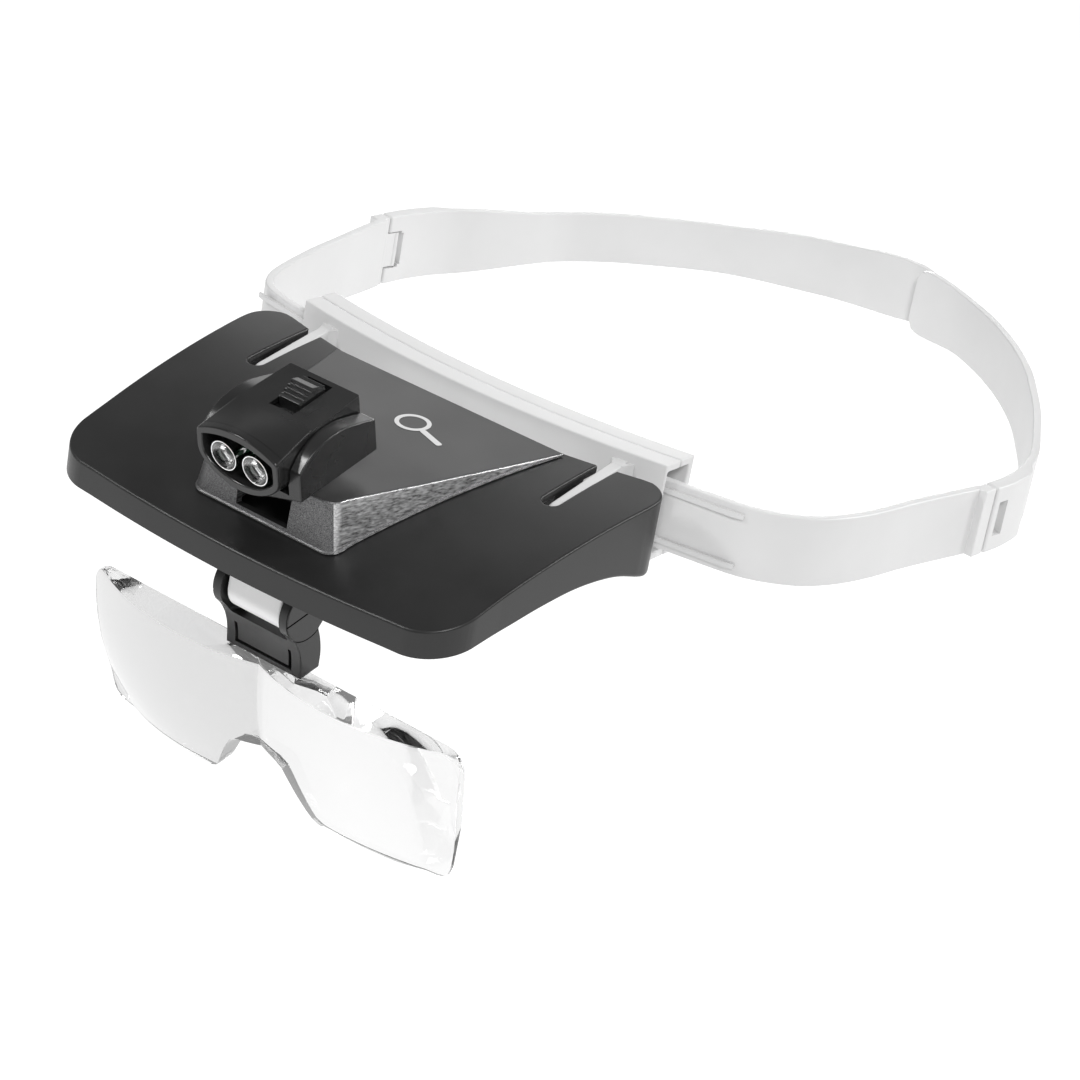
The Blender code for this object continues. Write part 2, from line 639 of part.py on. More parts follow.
def lamp_shell(material):
    """The lamp's hollow head: open in front for the bezel and below for the cells."""
    shell = loft([lamp_section(y) for y in (-16.8, -8.0, 0.0, 2.5, 5.0, 7.5, 10.3)])
    hollow = loft([lamp_section(y, 1.3) for y in (-15.3, -8.0, 0.0, 2.5, 5.0, 7.5, 11.0)])
    cut(shell, hollow)
    cut(shell, box((-3.6, 3.6), (-15.3, -1.9), (-2.5, 1.0)))
    cut(shell, box((-8.4, 8.4), (-15.0, 0.6), (-15.0, -9.0)))
    finish(in_lamp(shell), "lamp_shell", material, "lamp")


def lamp_bezel(material):
    """The eye-shaped frame round the two lights."""
    ring = loft([lamp_section(y) for y in (10.6, 11.7, LAMP_LENGTH)])
    cut(ring, loft([lamp_section(y, 1.5) for y in (9.0, 11.7, LAMP_LENGTH, 14.0)]))
    finish(in_lamp(ring), "lamp_bezel", material, "lamp")


def lamp_lights(glass, chrome):
    """Two 5 mm lights, each in a turned reflector cup."""
    for hand, side in SIDES.items():
        spot = Matrix.Translation((side * 4.7, 0, -6.7)) @ Matrix.Rotation(-math.pi / 2, 4, "X")
        light = turned([(0, 4.6), (2.9, 4.6), (2.9, 5.6), (2.4, 5.6), (2.4, 10.2), (2.0, 11.4),
                        (1.1, 12.3), (0, 12.6)], 14)
        finish(in_lamp(moved(light, spot)), f"led_{hand}", glass, "lamp")
        cup = turned([(0, 6.0), (3.1, 6.0), (3.8, 12.2), (0, 12.2)], 16)
        cut(cup, turned([(0, 5.0), (2.75, 5.0), (2.75, 6.6), (3.4, 12.5), (0, 12.5)], 16))
        finish(in_lamp(moved(cup, spot)), f"reflector_{hand}", chrome, "lamp")


def lamp_inside(board_material, cell_material, contact_material):
    """Circuit board, two coin cells and the two contact plates."""
    board = box((-9.0, 9.0), (2.6, 4.0), (-10.2, -2.6))
    finish(in_lamp(board), "lamp_board", board_material, "lamp")
    for name, low in (("lower", -10.2), ("upper", -7.4)):
        cell = rod((0, -7.6), CELL_RADIUS, low, low + 2.5, "Z", 20)
        join(cell, rod((0, -7.6), CELL_RADIUS - 0.9, low - 0.12, low + 0.2, "Z", 20))
        finish(in_lamp(cell), f"cell_{name}", cell_material, "lamp")
    top = box((-2.5, 2.5), (-12.0, 1.6), (-4.5, -4.0))
    join(top, box((-2.5, 2.5), (1.1, 1.6), (-7.0, -4.0)))
    finish(in_lamp(top), "contact_upper", contact_material, "lamp")
    leaf = box((-2.5, 2.5), (-12.0, 0.2), (-11.2, -10.7))
    join(leaf, box((-2.5, 2.5), (-0.3, 0.2), (-11.2, -7.6)))
    finish(in_lamp(leaf), "contact_lower", contact_material, "lamp")


def lamp_cover(material):
    """The cell cover that closes the lamp head from below."""
    cover = box((-8.0, 8.0), (-14.6, 0.2), (-12.0, -11.5))
    finish(in_lamp(cover), "cell_cover", material, "lamp")


def cheek_outline():
    """Side view of a cradle cheek: an arched top over a straight foot."""
    top = curve_through([(8.8, -5.4), (4.6, -2.4), (-0.2, -1.0), (-6.0, -1.1), (-11.5, -2.6),
                         (-16.7, -4.5)], 2)
    return top + [(-16.7, -13.8), (4.8, -13.8), (6.0, -17.2), (8.8, -17.2)]


def lamp_cradle(material):
    """The U-shaped cradle that holds the head between two cheeks, with its hinge lug."""
    cradle = prism(cheek_outline(), -15.0, 15.0, "X")
    belly = [(-15.5, -12.7), (-10.3, -14.2), (-5.6, -15.6), (0.0, -16.6), (5.6, -15.6),
             (10.3, -14.2), (15.5, -12.7), (16.0, -19.0), (-16.0, -19.0)]
    cut(cradle, prism(belly, -20.0, 12.0, "Y"))
    head = [(-11.5, 12.0), (-10.9, -18.0), (10.9, -18.0), (11.5, 12.0)]
    cut(cradle, prism(head, -12.3, 2.0, "Z"))
    cut(cradle, loft([lamp_section(y, -GAP) for y in (-1.0, 0.0, 2.5, 5.0, 7.5, 12.0)]))
    in_lamp(cradle)
    lug = [(-66.2, -1.4)] + arc((LAMP_HINGE_Y, LAMP_HINGE_Z), 3.0, 180, 360, 8) + [(-58.6, 0.6)]
    lug = prism(lug, -6.8, 6.8, "X")
    cut(lug, rod((LAMP_HINGE_Y, LAMP_HINGE_Z), HOLE_RADIUS, -8, 8, "X"))
    finish(join(cradle, lug), "lamp_cradle", material, "lamp")


def lamp_pin(material):
    finish(rod((LAMP_HINGE_Y, LAMP_HINGE_Z), PIN_RADIUS, -10.6, 10.6, "X", 14),
           "lamp_pin", material, "visor")


def switch_knob(material):
    """A ribbed finger hump on a slider that shutters the lamp's slot from below."""
    side_view = [(-13.4, -2.4), (-13.4, 1.2), (-13.2, 1.5), (-11.8, 1.5), (-11.3, 2.2), (-9.3, 3.0)]
    for i in range(3):
        y, z = -8.95 + 1.12 * i, 2.95 - 0.56 * i
        side_view += [(y, z), (y + 0.12, z - 0.75), (y + 0.42, z - 0.85)]
    side_view += [(-5.6, 1.3), (-4.8, 0.9), (-4.7, -2.4)]
    knob = prism(side_view, -3.1, 3.1, "X")
    join(knob, box((-4.6, 4.6), (-14.9, -2.5), (-2.9, -1.9)))
    finish(in_lamp(knob), "switch_knob", material, "lamp_switch")


# ---------------------------------------------------------------- lens holder

def lens_carriage(material):
    """The white slider under the deck: a plate in the rails and a barrel for the fold hinge."""
    plate = moved(box((-12.4, 12.4), (-9.5, 9.5), (-3.0, -0.7)), rail_frame())
    neck = [(-64.6, -21.0), (-65.3, FOLD_Z)] + arc((FOLD_Y, FOLD_Z), 5.9, 190, 350, 8)
    neck += [(-53.8, -30.0), (-53.6, -17.2), (-64.2, -19.0)]
    join(plate, prism(neck, -8.2, 8.2, "X"))
    cut(plate, rod((FOLD_Y, FOLD_Z), HOLE_RADIUS, -14, 14, "X"))
    finish(plate, "lens_carriage", material, "lens_carriage")


def bracket_side():
    """Side view of a bracket arm: a disc on the hinge, a waist and a square foot."""
    return ([(-60.4, -44.6), (-59.0, -48.0), (-58.6, -53.0), (-52.2, -51.4), (-52.4, -47.0),
             (-53.4, -43.4)] + arc((FOLD_Y, FOLD_Z), 7.1, -48, 228, 16))


def lens_bracket(material):
    """The black U-shaped holder: two arms with discs, and a foot with a snap tongue."""
    bracket = prism(bracket_side(), -BRACKET_HALF, BRACKET_HALF, "X")
    room = BRACKET_HALF - BRACKET_ARM
    gap = [(-75, -20), (-75, -42.9), (-62.2, -42.9), (-50.0, -42.9), (-45, -20)]
    cut(bracket, prism(gap, -room, room, "X"))
    cut(bracket, box((-7.4, 7.4), (-56.4, -53.7), (-60.0, -45.6)))
    cut(bracket, box((-8.8, 8.8), (-62.0, -55.0), (-51.6, -50.7)))
    for side in (-1, 1):
        x0, x1 = sorted((side * 7.9, side * 8.8))
        cut(bracket, box((x0, x1), (-62.0, -55.0), (-51.6, -46.0)))
    cut(bracket, rod((FOLD_Y, FOLD_Z), HOLE_RADIUS, -10.5, 10.5, "X"))
    turn = Matrix.Rotation(math.radians(15), 4, "X")
    slit = box((BRACKET_HALF - 0.5, BRACKET_HALF + 1), (-9.0, 0.0), (-0.3, 0.3))
    cut(bracket, moved(slit, Matrix.Translation((0, FOLD_Y, FOLD_Z)) @ turn))
    finish(bracket, "lens_bracket", material, "lens_holder")


def fold_pin(material):
    finish(rod((FOLD_Y, FOLD_Z), PIN_RADIUS, -10.2, 10.2, "X", 14), "fold_pin", material,
           "lens_carriage")


def lens_frame():
    """Local axes of the lens: x across, y down its rear face, z out of its front."""
    down = Vector((0, math.sin(LENS_TILT), -math.cos(LENS_TILT)))
    front = Vector((0, -math.cos(LENS_TILT), -math.sin(LENS_TILT)))
    rows = [((1, 0, 0)[i], down[i], front[i], LENS_TOP[i]) for i in range(3)]
    return Matrix(rows + [(0, 0, 0, 1)])


def lens_edges(x):
    """Top and bottom of the lens at x, measured down its rear face."""
    a = abs(x)
    top = 0.0
    corner = 5.0
    if a > LENS_HALF - corner:
        top = corner - math.sqrt(max(0.0, corner ** 2 - (a - LENS_HALF + corner) ** 2))
    bottom = between(a, [(0.0, 24.2), (8.4, 25.4), (14.6, 37.6), (17.0, LENS_HEIGHT),
                         (50.0, LENS_HEIGHT), (53.2, 38.0), (54.4, 35.0), (56.6, 22.0),
                         (LENS_HALF, 8.0)])
    return top, bottom


def lens_thickness(x, s):
    """Two domed halves that meet in a crease down the middle."""
    reach = (abs(x) - LENS_CROWN_X) ** 2 + (s - LENS_CROWN_S) ** 2
    dome = LENS_CROWN_T - LENS_SPHERE + math.sqrt(LENS_SPHERE ** 2 - reach)
    return max(1.0, dome)


def lens(material):
    """One clear plate with a flat rear, two domed fronts, a nose notch and a clip tab."""
    half = [0, 4, 8.4, 11.5, 14.6, 17, 22, 28, 34, 40, 45, 50, 53.2, 55.3, 56.6, LENS_HALF]
    columns = [-x for x in half[:0:-1]] + half
    rows = 8
    sections = []
    for x in columns:
        top, bottom = lens_edges(x)
        down = [top + (bottom - top) * i / rows for i in range(rows + 1)]
        front = [(x, s, lens_thickness(x, s)) for s in down]
        sections.append([(x, s, 0.0) for s in down[::-1]] + front)
    plate = loft(sections)
    moved_solid(plate, lens_frame())
    tab = [(-56.0, -46.2), (-54.1, -46.2), (-54.1, -51.6), (-54.6, -53.4), (-56.0, -53.6)]
    join(plate, prism(tab, -6.8, 6.8, "X"))
    finish(plate, "lens", material, "lens_holder", 25.0)


# ---------------------------------------------------------------- assembly

def main():
    clear_scene()
    grey = make_material("band_grey_plastic", (0.72, 0.72, 0.72), 0.45)
    white = make_material("strap_white_plastic", (0.82, 0.82, 0.82), 0.4)
    foam = make_material("pad_foam", (0.75, 0.75, 0.75), 0.9)
    black = make_material("deck_black_plastic", (0.02, 0.02, 0.02), 0.38)
    pedestal = make_material("pedestal_brushed", (0.16, 0.16, 0.165), 0.35, 0.6)
    gloss = make_material("lamp_black_plastic", (0.03, 0.03, 0.03), 0.25)
    clear = make_material("lens_acrylic", (0.95, 0.97, 0.98), 0.02, 0.0, 0.35)
    chrome = make_material("reflector_chrome", (0.9, 0.9, 0.9), 0.08, 1.0)
    steel = make_material("pin_steel", (0.6, 0.6, 0.6), 0.3, 1.0)
    board = make_material("circuit_board", (0.03, 0.2, 0.07), 0.5)

    bar_front_shell(grey)
    bar_rear_shell(grey)
    bar_screws(steel)
    forehead_pad(foam)
    for hand in SIDES:
        front_strap(hand, white)
        rear_strap(hand, white)
    visor_deck(black)
    visor_pins(steel)
    lamp_pedestal(pedestal)
    lamp_cradle(gloss)
    lamp_shell(gloss)
    lamp_bezel(gloss)
    lamp_lights(clear, chrome)
    lamp_inside(board, steel, steel)
    lamp_cover(gloss)
    lamp_pin(steel)
    switch_knob(gloss)
    lens_carriage(white)
    lens_bracket(black)
    fold_pin(steel)
    lens(clear)


main()
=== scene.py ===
"""Looks of the head visor magnifier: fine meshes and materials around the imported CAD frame.

Shapes are drawn in millimetres from the deck's rear edge, as the CAD is, and turned into the
row frame's metres when a piece is finished: +X the wearer's left, -Y ahead, +Z up.
"""

import json
import math

import bmesh
import bpy
from mathutils import Matrix, Vector


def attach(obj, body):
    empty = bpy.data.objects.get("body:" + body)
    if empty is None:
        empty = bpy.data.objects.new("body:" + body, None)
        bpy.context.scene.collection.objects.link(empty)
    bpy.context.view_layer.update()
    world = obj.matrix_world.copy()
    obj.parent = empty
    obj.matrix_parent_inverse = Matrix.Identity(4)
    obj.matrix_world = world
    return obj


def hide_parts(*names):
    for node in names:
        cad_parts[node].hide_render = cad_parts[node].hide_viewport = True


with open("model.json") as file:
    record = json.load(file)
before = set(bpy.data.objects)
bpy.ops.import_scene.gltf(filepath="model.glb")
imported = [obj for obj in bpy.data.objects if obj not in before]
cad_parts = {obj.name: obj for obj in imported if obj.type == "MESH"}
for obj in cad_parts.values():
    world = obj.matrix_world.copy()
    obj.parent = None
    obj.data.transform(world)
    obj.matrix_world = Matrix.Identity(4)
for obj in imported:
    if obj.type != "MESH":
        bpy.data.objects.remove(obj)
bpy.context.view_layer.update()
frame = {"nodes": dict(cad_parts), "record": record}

MM = 0.001
FOREHEAD = Vector((0.0, 17.0, -9.55))      # row origin in the drawing
SIDES = {"left": 1, "right": -1}

BAR_RADIUS, BAR_FRONT_Y, BAR_HALF = 272.0, 2.9, 56.3
BAR_TOP, BAR_BOTTOM = 2.9, -22.0
SLEEVE_TOP, SLEEVE_BOTTOM = 0.9, -20.0     # the straps' channel inside the bar
ARM_X = 45.5
SCREW_X, SCREW_Z = (-26.0, -9.0, 9.0, 26.0), -9.55
TILT_Y, TILT_Z, HOLE_RADIUS = -10.0, -8.0, 1.8
SLOT_INNER, SLOT_OUTER, SLOT_FRONT = 43.2, 47.7, -22.2
DECK_SKIN, DECK_WALL, DECK_RIM = 2.3, 2.2, -12.0
DECK_REAR_Y, DECK_FRONT_Y, DECK_SIDE_REAR, DECK_SIDE_FRONT = -4.3, -76.7, 63.5, 60.1
PEDESTAL_DRAFT, PEDESTAL_SLOPE = 0.19, 0.0461
PEDESTAL_REAR_Y, PEDESTAL_FRONT_Y = -3.0, -66.9
PEDESTAL_FRONT_HALF, PEDESTAL_SPREAD = 20.7, 14.5
LAMP_HINGE_Y, LAMP_HINGE_Z = -62.5, -6.0
LAMP_TILT = math.radians(16.3)
LAMP_CORNER = Vector((0.0, -67.4, 12.1))
LAMP_FRONT, LAMP_REAR, LAMP_MIDDLE, HOOD_STEP = 12.8, 16.8, -6.0, 0.35
FOLD_Y, FOLD_Z = -59.4, -35.4
RAIL_TILT = math.radians(17.0)
LENS_TILT = math.atan(0.24)
LENS_TOP = Vector((0.0, -54.3, -52.4))
LENS_HALF, LENS_HEIGHT, LENS_CORNER = 57.5, 39.6, 5.0
LENS_DEPTH, DOME_RADIUS, DOME_X, DOME_S = 10.5, 75.0, 23.0, 13.0
STRAP_Z, STRAP_THICKNESS, STRAP_HEIGHT = -10.3, 2.2, 17.6
TONGUE_INNER, TONGUE_OUTER = (35.0, 8.5), (57.0, 12.3)
RIGHT_JOINT_HEIGHT = 19.6
KNUCKLE = 3.2


# ---------------------------------------------------------------- drawing tools

def solid(vertices, faces):
    """A new blank from corners and faces, its normals turned outwards."""
    mesh = bpy.data.meshes.new("blank")
    mesh.from_pydata([tuple(v) for v in vertices], [], faces)
    drawn = bmesh.new()
    drawn.from_mesh(mesh)
    bmesh.ops.remove_doubles(drawn, verts=drawn.verts, dist=1e-5)
    bmesh.ops.recalc_face_normals(drawn, faces=drawn.faces)
    drawn.to_mesh(mesh)
    drawn.free()
    blank = bpy.data.objects.new("blank", mesh)
    bpy.context.scene.collection.objects.link(blank)
    return blank


def loft(sections, capped=True):
    """A solid through sections, each a loop of the same number of points."""
    count = len(sections[0])
    vertices = [point for section in sections for point in section]
    faces = [list(range(count))[::-1]] if capped else []
    for row in range(len(sections) - 1):
        for i in range(count):
            j = (i + 1) % count
            a, b = row * count, (row + 1) * count
            faces.append([a + i, a + j, b + j, b + i])
    if capped:
        last = (len(sections) - 1) * count
        faces.append([last + i for i in range(count)])
    return solid(vertices, faces)


def prism(outline, low, high, axis):
    """A flat outline drawn out along an axis."""
    def place(point, height):
        u, v = point
        return {"X": (height, u, v), "Y": (u, height, v), "Z": (u, v, height)}[axis]
    return loft([[place(p, low) for p in outline], [place(p, high) for p in outline]])


def box(x_range, y_range, z_range):
    (x0, x1), (y0, y1) = x_range, y_range
    return prism([(x0, y0), (x1, y0), (x1, y1), (x0, y1)], *z_range, "Z")


def circle(centre, radius, sides):
    turn = 2 * math.pi / sides
    return [(centre[0] + radius * math.cos(turn * (i + 0.5)),
             centre[1] + radius * math.sin(turn * (i + 0.5))) for i in range(sides)]


def rod(centre, radius, low, high, axis, sides=40):
    return prism(circle(centre, radius, sides), low, high, axis)


def arc(centre, radius, start, end, steps):
    points = []
    for i in range(steps + 1):
        angle = math.radians(start + (end - start) * i / steps)
        points.append((centre[0] + radius * math.cos(angle), centre[1] + radius * math.sin(angle)))
    return points


def turned(profile, sides):
    """A solid of revolution about Z from a profile of (radius, height), axis to axis."""
    middle = profile[1:-1]
    vertices = [(0, 0, profile[0][1]), (0, 0, profile[-1][1])]
    for radius, height in middle:
        vertices += [(x, y, height) for x, y in circle((0, 0), radius, sides)]
    faces = []
    for i in range(sides):
        j = (i + 1) % sides
        faces.append([0, 2 + j, 2 + i])
        last = 2 + (len(middle) - 1) * sides
        faces.append([1, last + i, last + j])
        for row in range(len(middle) - 1):
            a, b = 2 + row * sides, 2 + (row + 1) * sides
            faces.append([a + i, a + j, b + j, b + i])
    return solid(vertices, faces)


def bake(blank):
    """Replaces the blank's mesh by what its modifiers make of it."""
    bpy.context.view_layer.update()
    shape = blank.evaluated_get(bpy.context.evaluated_depsgraph_get())
    mesh = bpy.data.meshes.new_from_object(shape)
    blank.modifiers.clear()
    blank.data = mesh
    return blank


def bevelled(blank, width, segments=3, angle=30.0):
    """Rounds the blank's edges that are sharper than the angle."""
    modifier = blank.modifiers.new("bevel", "BEVEL")
    modifier.width = width
    modifier.segments = segments
    modifier.limit_method = "ANGLE"
    modifier.angle_limit = math.radians(angle)
    modifier.use_clamp_overlap = False
    modifier.miter_outer = "MITER_ARC"
    return bake(blank)


def combine(base, other, operation):
    modifier = base.modifiers.new("combine", "BOOLEAN")
    modifier.operation = operation
    modifier.solver = "EXACT"
    modifier.object = other
    bake(base)
    bpy.data.objects.remove(other, do_unlink=True)
    return base


def cut(base, *others):
    for other in others:
        combine(base, other, "DIFFERENCE")
    return base


def join(base, *others):
    for other in others:
        combine(base, other, "UNION")
    return base


def moved(blank, matrix):
    """Moves the blank's mesh, and keeps its normals outwards when it is mirrored."""
    blank.data.transform(matrix)
    if matrix.determinant() < 0:
        blank.data.flip_normals()
    return blank


def curve_through(points, steps):
    """A smooth line through points, with so many steps to each stretch."""
    ends = [[2 * a - b for a, b in zip(points[i], points[j])] for i, j in ((0, 1), (-1, -2))]
    line = [ends[0], *points, ends[1]]
    smooth = []
    for i in range(1, len(line) - 2):
        for k in range(steps):
            t = k / steps
            smooth.append(tuple(
                0.5 * (2 * b + (c - a) * t + (2 * a - 5 * b + 4 * c - d) * t * t
                       + (3 * b - a - 3 * c + d) * t ** 3)
                for a, b, c, d in zip(*line[i - 1:i + 3])))
    return smooth + [tuple(points[-1])]


def rounded(outline, radius, steps=4):
    """The outline with each corner cut back by radius and turned in a quadratic curve."""
    smooth = []
    count = len(outline)
    for i in range(count):
        before, corner, after = (Vector(outline[(i + k) % count]) for k in (-1, 0, 1))
        reach = min(radius, (before - corner).length * 0.49, (after - corner).length * 0.49)
        start = corner + (before - corner).normalized() * reach
        end = corner + (after - corner).normalized() * reach
        for k in range(steps + 1):
            t = k / steps
            smooth.append(tuple((1 - t) ** 2 * start + 2 * t * (1 - t) * corner + t * t * end))
    return smooth


def between(x, table):
    """The value at x on straight lines between a table's (place, value) rows."""
    for (x0, v0), (x1, v1) in zip(table, table[1:]):
        if x <= x1:
            share = max(0.0, (x - x0) / (x1 - x0))
            return v0 + (v1 - v0) * share
    return table[-1][1]


def eased(x, table):
    """As between, with each stretch eased in and out."""
    for (x0, v0), (x1, v1) in zip(table, table[1:]):
        if x <= x1:
            share = max(0.0, (x - x0) / (x1 - x0))
            return v0 + (v1 - v0) * share * share * (3 - 2 * share)
    return table[-1][1]


def finish(blank, name, material, body, nodes, smooth_angle=32.0):
    """Names a blank, takes it to the row frame and hands it to its body."""
    blank.name = name
    blank.data.name = name
    blank.data.transform(Matrix.Scale(MM, 4) @ Matrix.Translation(-FOREHEAD))
    blank.data.materials.clear()
    blank.data.materials.append(material)
    blank.data.shade_smooth()
    blank.data.set_sharp_from_angle(angle=math.radians(smooth_angle))
    normals = blank.modifiers.new("normals", "WEIGHTED_NORMAL")
    normals.keep_sharp = True
    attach(blank, body)
    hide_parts(*nodes)
    return blank


# ---------------------------------------------------------------- materials

def new_material(name, colour, roughness, metallic=0.0):
    material = bpy.data.materials.new(name)
    material.use_nodes = True
    shader = material.node_tree.nodes["Principled BSDF"]
    shader.inputs["Base Color"].default_value = (*colour, 1.0)
    shader.inputs["Roughness"].default_value = roughness
    shader.inputs["Metallic"].default_value = metallic
    return material, material.node_tree, shader


def add_node(tree, kind, **values):
    node = tree.nodes.new(kind)
    for name, value in values.items():
        node.inputs[name].default_value = value
    return node


def object_noise(tree, scale, detail=4.0, stretch=(1, 1, 1)):
    """Noise over the piece's own coordinates, in metres, drawn out along an axis."""
    coordinates = tree.nodes.new("ShaderNodeTexCoord")
    mapping = add_node(tree, "ShaderNodeMapping", Scale=stretch)
    noise = add_node(tree, "ShaderNodeTexNoise", Scale=scale, Detail=detail)
    tree.links.new(coordinates.outputs["Object"], mapping.inputs["Vector"])
    tree.links.new(mapping.outputs["Vector"], noise.inputs["Vector"])
    return noise.outputs["Fac"]


def spread(tree, value, low, high):
    """Maps a 0 to 1 value on to low to high."""
    node = tree.nodes.new("ShaderNodeMapRange")
    node.inputs["From Min"].default_value = 0.3
    node.inputs["From Max"].default_value = 0.7
    node.inputs["To Min"].default_value = low
    node.inputs["To Max"].default_value = high
    tree.links.new(value, node.inputs["Value"])
    return node.outputs["Result"]


def add_bump(tree, shader, height, strength, distance):
    bump = add_node(tree, "ShaderNodeBump", Strength=strength, Distance=distance)
    tree.links.new(height, bump.inputs["Height"])
    tree.links.new(bump.outputs["Normal"], shader.inputs["Normal"])


def tinted(tree, shader, value, dark, light):
    """Drives the base colour between two colours."""
    ramp = tree.nodes.new("ShaderNodeValToRGB")
    ramp.color_ramp.elements[0].position = 0.3
    ramp.color_ramp.elements[0].color = (*dark, 1)
    ramp.color_ramp.elements[1].position = 0.7
    ramp.color_ramp.elements[1].color = (*light, 1)
    tree.links.new(value, ramp.inputs["Fac"])
    tree.links.new(ramp.outputs["Color"], shader.inputs["Base Color"])


def moulded_plastic(name, dark, light, roughness, grain, depth):
    """Moulded plastic: faint cloudiness in the colour and gloss, over a fine spark-eroded grain."""
    material, tree, shader = new_material(name, light, roughness)
    cloud = object_noise(tree, 45.0, 3.0)
    tinted(tree, shader, cloud, dark, light)
    low, high = roughness - 0.05, roughness + 0.05
    tree.links.new(spread(tree, cloud, low, high), shader.inputs["Roughness"])
    add_bump(tree, shader, object_noise(tree, grain, 2.0), 0.25, depth)
    return material


def brushed_plastic(name):
    """The pedestal's metallic paint, brushed fore and aft in fine strokes."""
    material, tree, shader = new_material(name, (0.4, 0.4, 0.4), 0.34, 0.9)
    strokes = object_noise(tree, 2400.0, 1.0, (1.0, 0.03, 1.0))
    tinted(tree, shader, strokes, (0.42, 0.42, 0.424), (0.95, 0.95, 0.955))
    tree.links.new(spread(tree, strokes, 0.26, 0.46), shader.inputs["Roughness"])
    add_bump(tree, shader, strokes, 0.3, 0.00002)
    return material


def sparkling_painted_shade(name):
    """The pedestal's metallic paint made dark for the faces turned ahead: painted shade, with fine
    bright flakes.
    """
    material, tree, shader = new_material(name, (0.06, 0.06, 0.06), 0.42, 0.6)
    flakes = object_noise(tree, 6500.0, 1.0)
    tinted(tree, shader, flakes, (0.03, 0.03, 0.03), (0.26, 0.26, 0.264))
    add_bump(tree, shader, flakes, 0.5, 0.00005)
    return material


def foam(name):
    """Closed-cell foam: matt, with small open pores."""
    material, tree, shader = new_material(name, (0.7, 0.7, 0.7), 0.92)
    coordinates = tree.nodes.new("ShaderNodeTexCoord")
    pores = add_node(tree, "ShaderNodeTexVoronoi", Scale=1400.0)
    tree.links.new(coordinates.outputs["Object"], pores.inputs["Vector"])
    tinted(tree, shader, pores.outputs["Distance"], (0.5, 0.5, 0.5), (0.78, 0.78, 0.78))
    add_bump(tree, shader, pores.outputs["Distance"], 0.5, 0.0002)
    shader.inputs["Sheen Weight"].default_value = 0.2
    return material


def clear_plastic(name, left_painted_shade, right_painted_shade, refraction):
    """Polished clear plastic; its grey is painted shade, one shade for each half, and it runs from one
    to the other across the crease at x = 0.
    """
    material, tree, shader = new_material(name, (1.0, 1.0, 1.0), 0.0)
    shader.inputs["Transmission Weight"].default_value = 1.0
    shader.inputs["IOR"].default_value = refraction
    haze = object_noise(tree, 40.0, 2.0)
    tree.links.new(spread(tree, haze, 0.0, 0.03), shader.inputs["Roughness"])
    coordinates = tree.nodes.new("ShaderNodeTexCoord")
    axes = tree.nodes.new("ShaderNodeSeparateXYZ")
    tree.links.new(coordinates.outputs["Object"], axes.inputs["Vector"])
    across = tree.nodes.new("ShaderNodeMapRange")
    across.inputs["From Min"].default_value = -0.058
    across.inputs["From Max"].default_value = 0.058
    tree.links.new(axes.outputs["X"], across.inputs["Value"])
    ramp = tree.nodes.new("ShaderNodeValToRGB")
    stops = ramp.color_ramp.elements
    stops[0].position, stops[1].position = 0.0, 1.0
    # painted shade: one grey for each half of the lens, with a step at the crease
    shades = [(0.0, right_painted_shade), (0.495, 0.96 * right_painted_shade), (0.505, 0.5 * (left_painted_shade + right_painted_shade)),
              (0.75, left_painted_shade), (1.0, left_painted_shade)]
    for position, shade in shades:
        stop = stops.new(position) if 0.0 < position < 1.0 else stops[0 if position == 0.0 else -1]
        stop.color = (shade, shade, shade, 1.0)
    tree.links.new(across.outputs["Result"], ramp.inputs["Fac"])
    tree.links.new(ramp.outputs["Color"], shader.inputs["Base Color"])
    return material


def metal(name, colour, roughness):
    """Plain metal with faint marks in its gloss."""
    material, tree, shader = new_material(name, colour, roughness, 1.0)
    marks = object_noise(tree, 500.0, 3.0)
    tree.links.new(spread(tree, marks, roughness * 0.7, roughness * 1.3), shader.inputs["Roughness"])
    add_bump(tree, shader, marks, 0.15, 0.00003)
    return material


def circuit_board(name):
    """Green solder mask with paler tracks, darkened almost to black: painted shade for the dark inside
    of the lamp.
    """
    material, tree, shader = new_material(name, (0.006, 0.05, 0.02), 0.35)
    tracks = object_noise(tree, 700.0, 0.0, (1.0, 1.0, 0.2))
    # both greens are darkened almost to black: painted shade inside the lamp
    tinted(tree, shader, tracks, (0.004, 0.03, 0.012), (0.01, 0.07, 0.03))
    return material


MATERIALS = {
    "band_grey_plastic": moulded_plastic(
        "band_grey", (0.66, 0.66, 0.66), (0.70, 0.70, 0.70), 0.42, 6000.0, 0.00002),
    "strap_white_plastic": moulded_plastic(
        "strap_white", (0.66, 0.66, 0.66), (0.70, 0.70, 0.70), 0.38, 5000.0, 0.00002),
    "deck_black_plastic": moulded_plastic(
        "deck_black", (0.008, 0.008, 0.008), (0.015, 0.015, 0.015), 0.36, 4200.0, 0.00005),
    "lamp_black_plastic": moulded_plastic(
        "lamp_black", (0.008, 0.008, 0.008), (0.016, 0.016, 0.016), 0.24, 5000.0, 0.00002),
    "pedestal_brushed": brushed_plastic("pedestal_brushed"),
    "pad_foam": foam("pad_foam"),
    # the lens's grey halves are painted shade: 0.83 on the +X half, 0.66 on the darker -X half
    "lens_acrylic": clear_plastic("lens_acrylic", 0.83, 0.66, 1.40),
    "led_clear": clear_plastic("led_clear", 0.97, 0.97, 1.49),
    "reflector_chrome": metal("reflector_chrome", (0.9, 0.9, 0.9), 0.08),
    "pin_steel": metal("pin_steel", (0.6, 0.6, 0.6), 0.3),
    "cell_steel": metal("cell_steel", (0.66, 0.66, 0.65), 0.25),
    "contact_metal": metal("contact_metal", (0.8, 0.68, 0.4), 0.3),
    "circuit_board": circuit_board("circuit_board"),
}
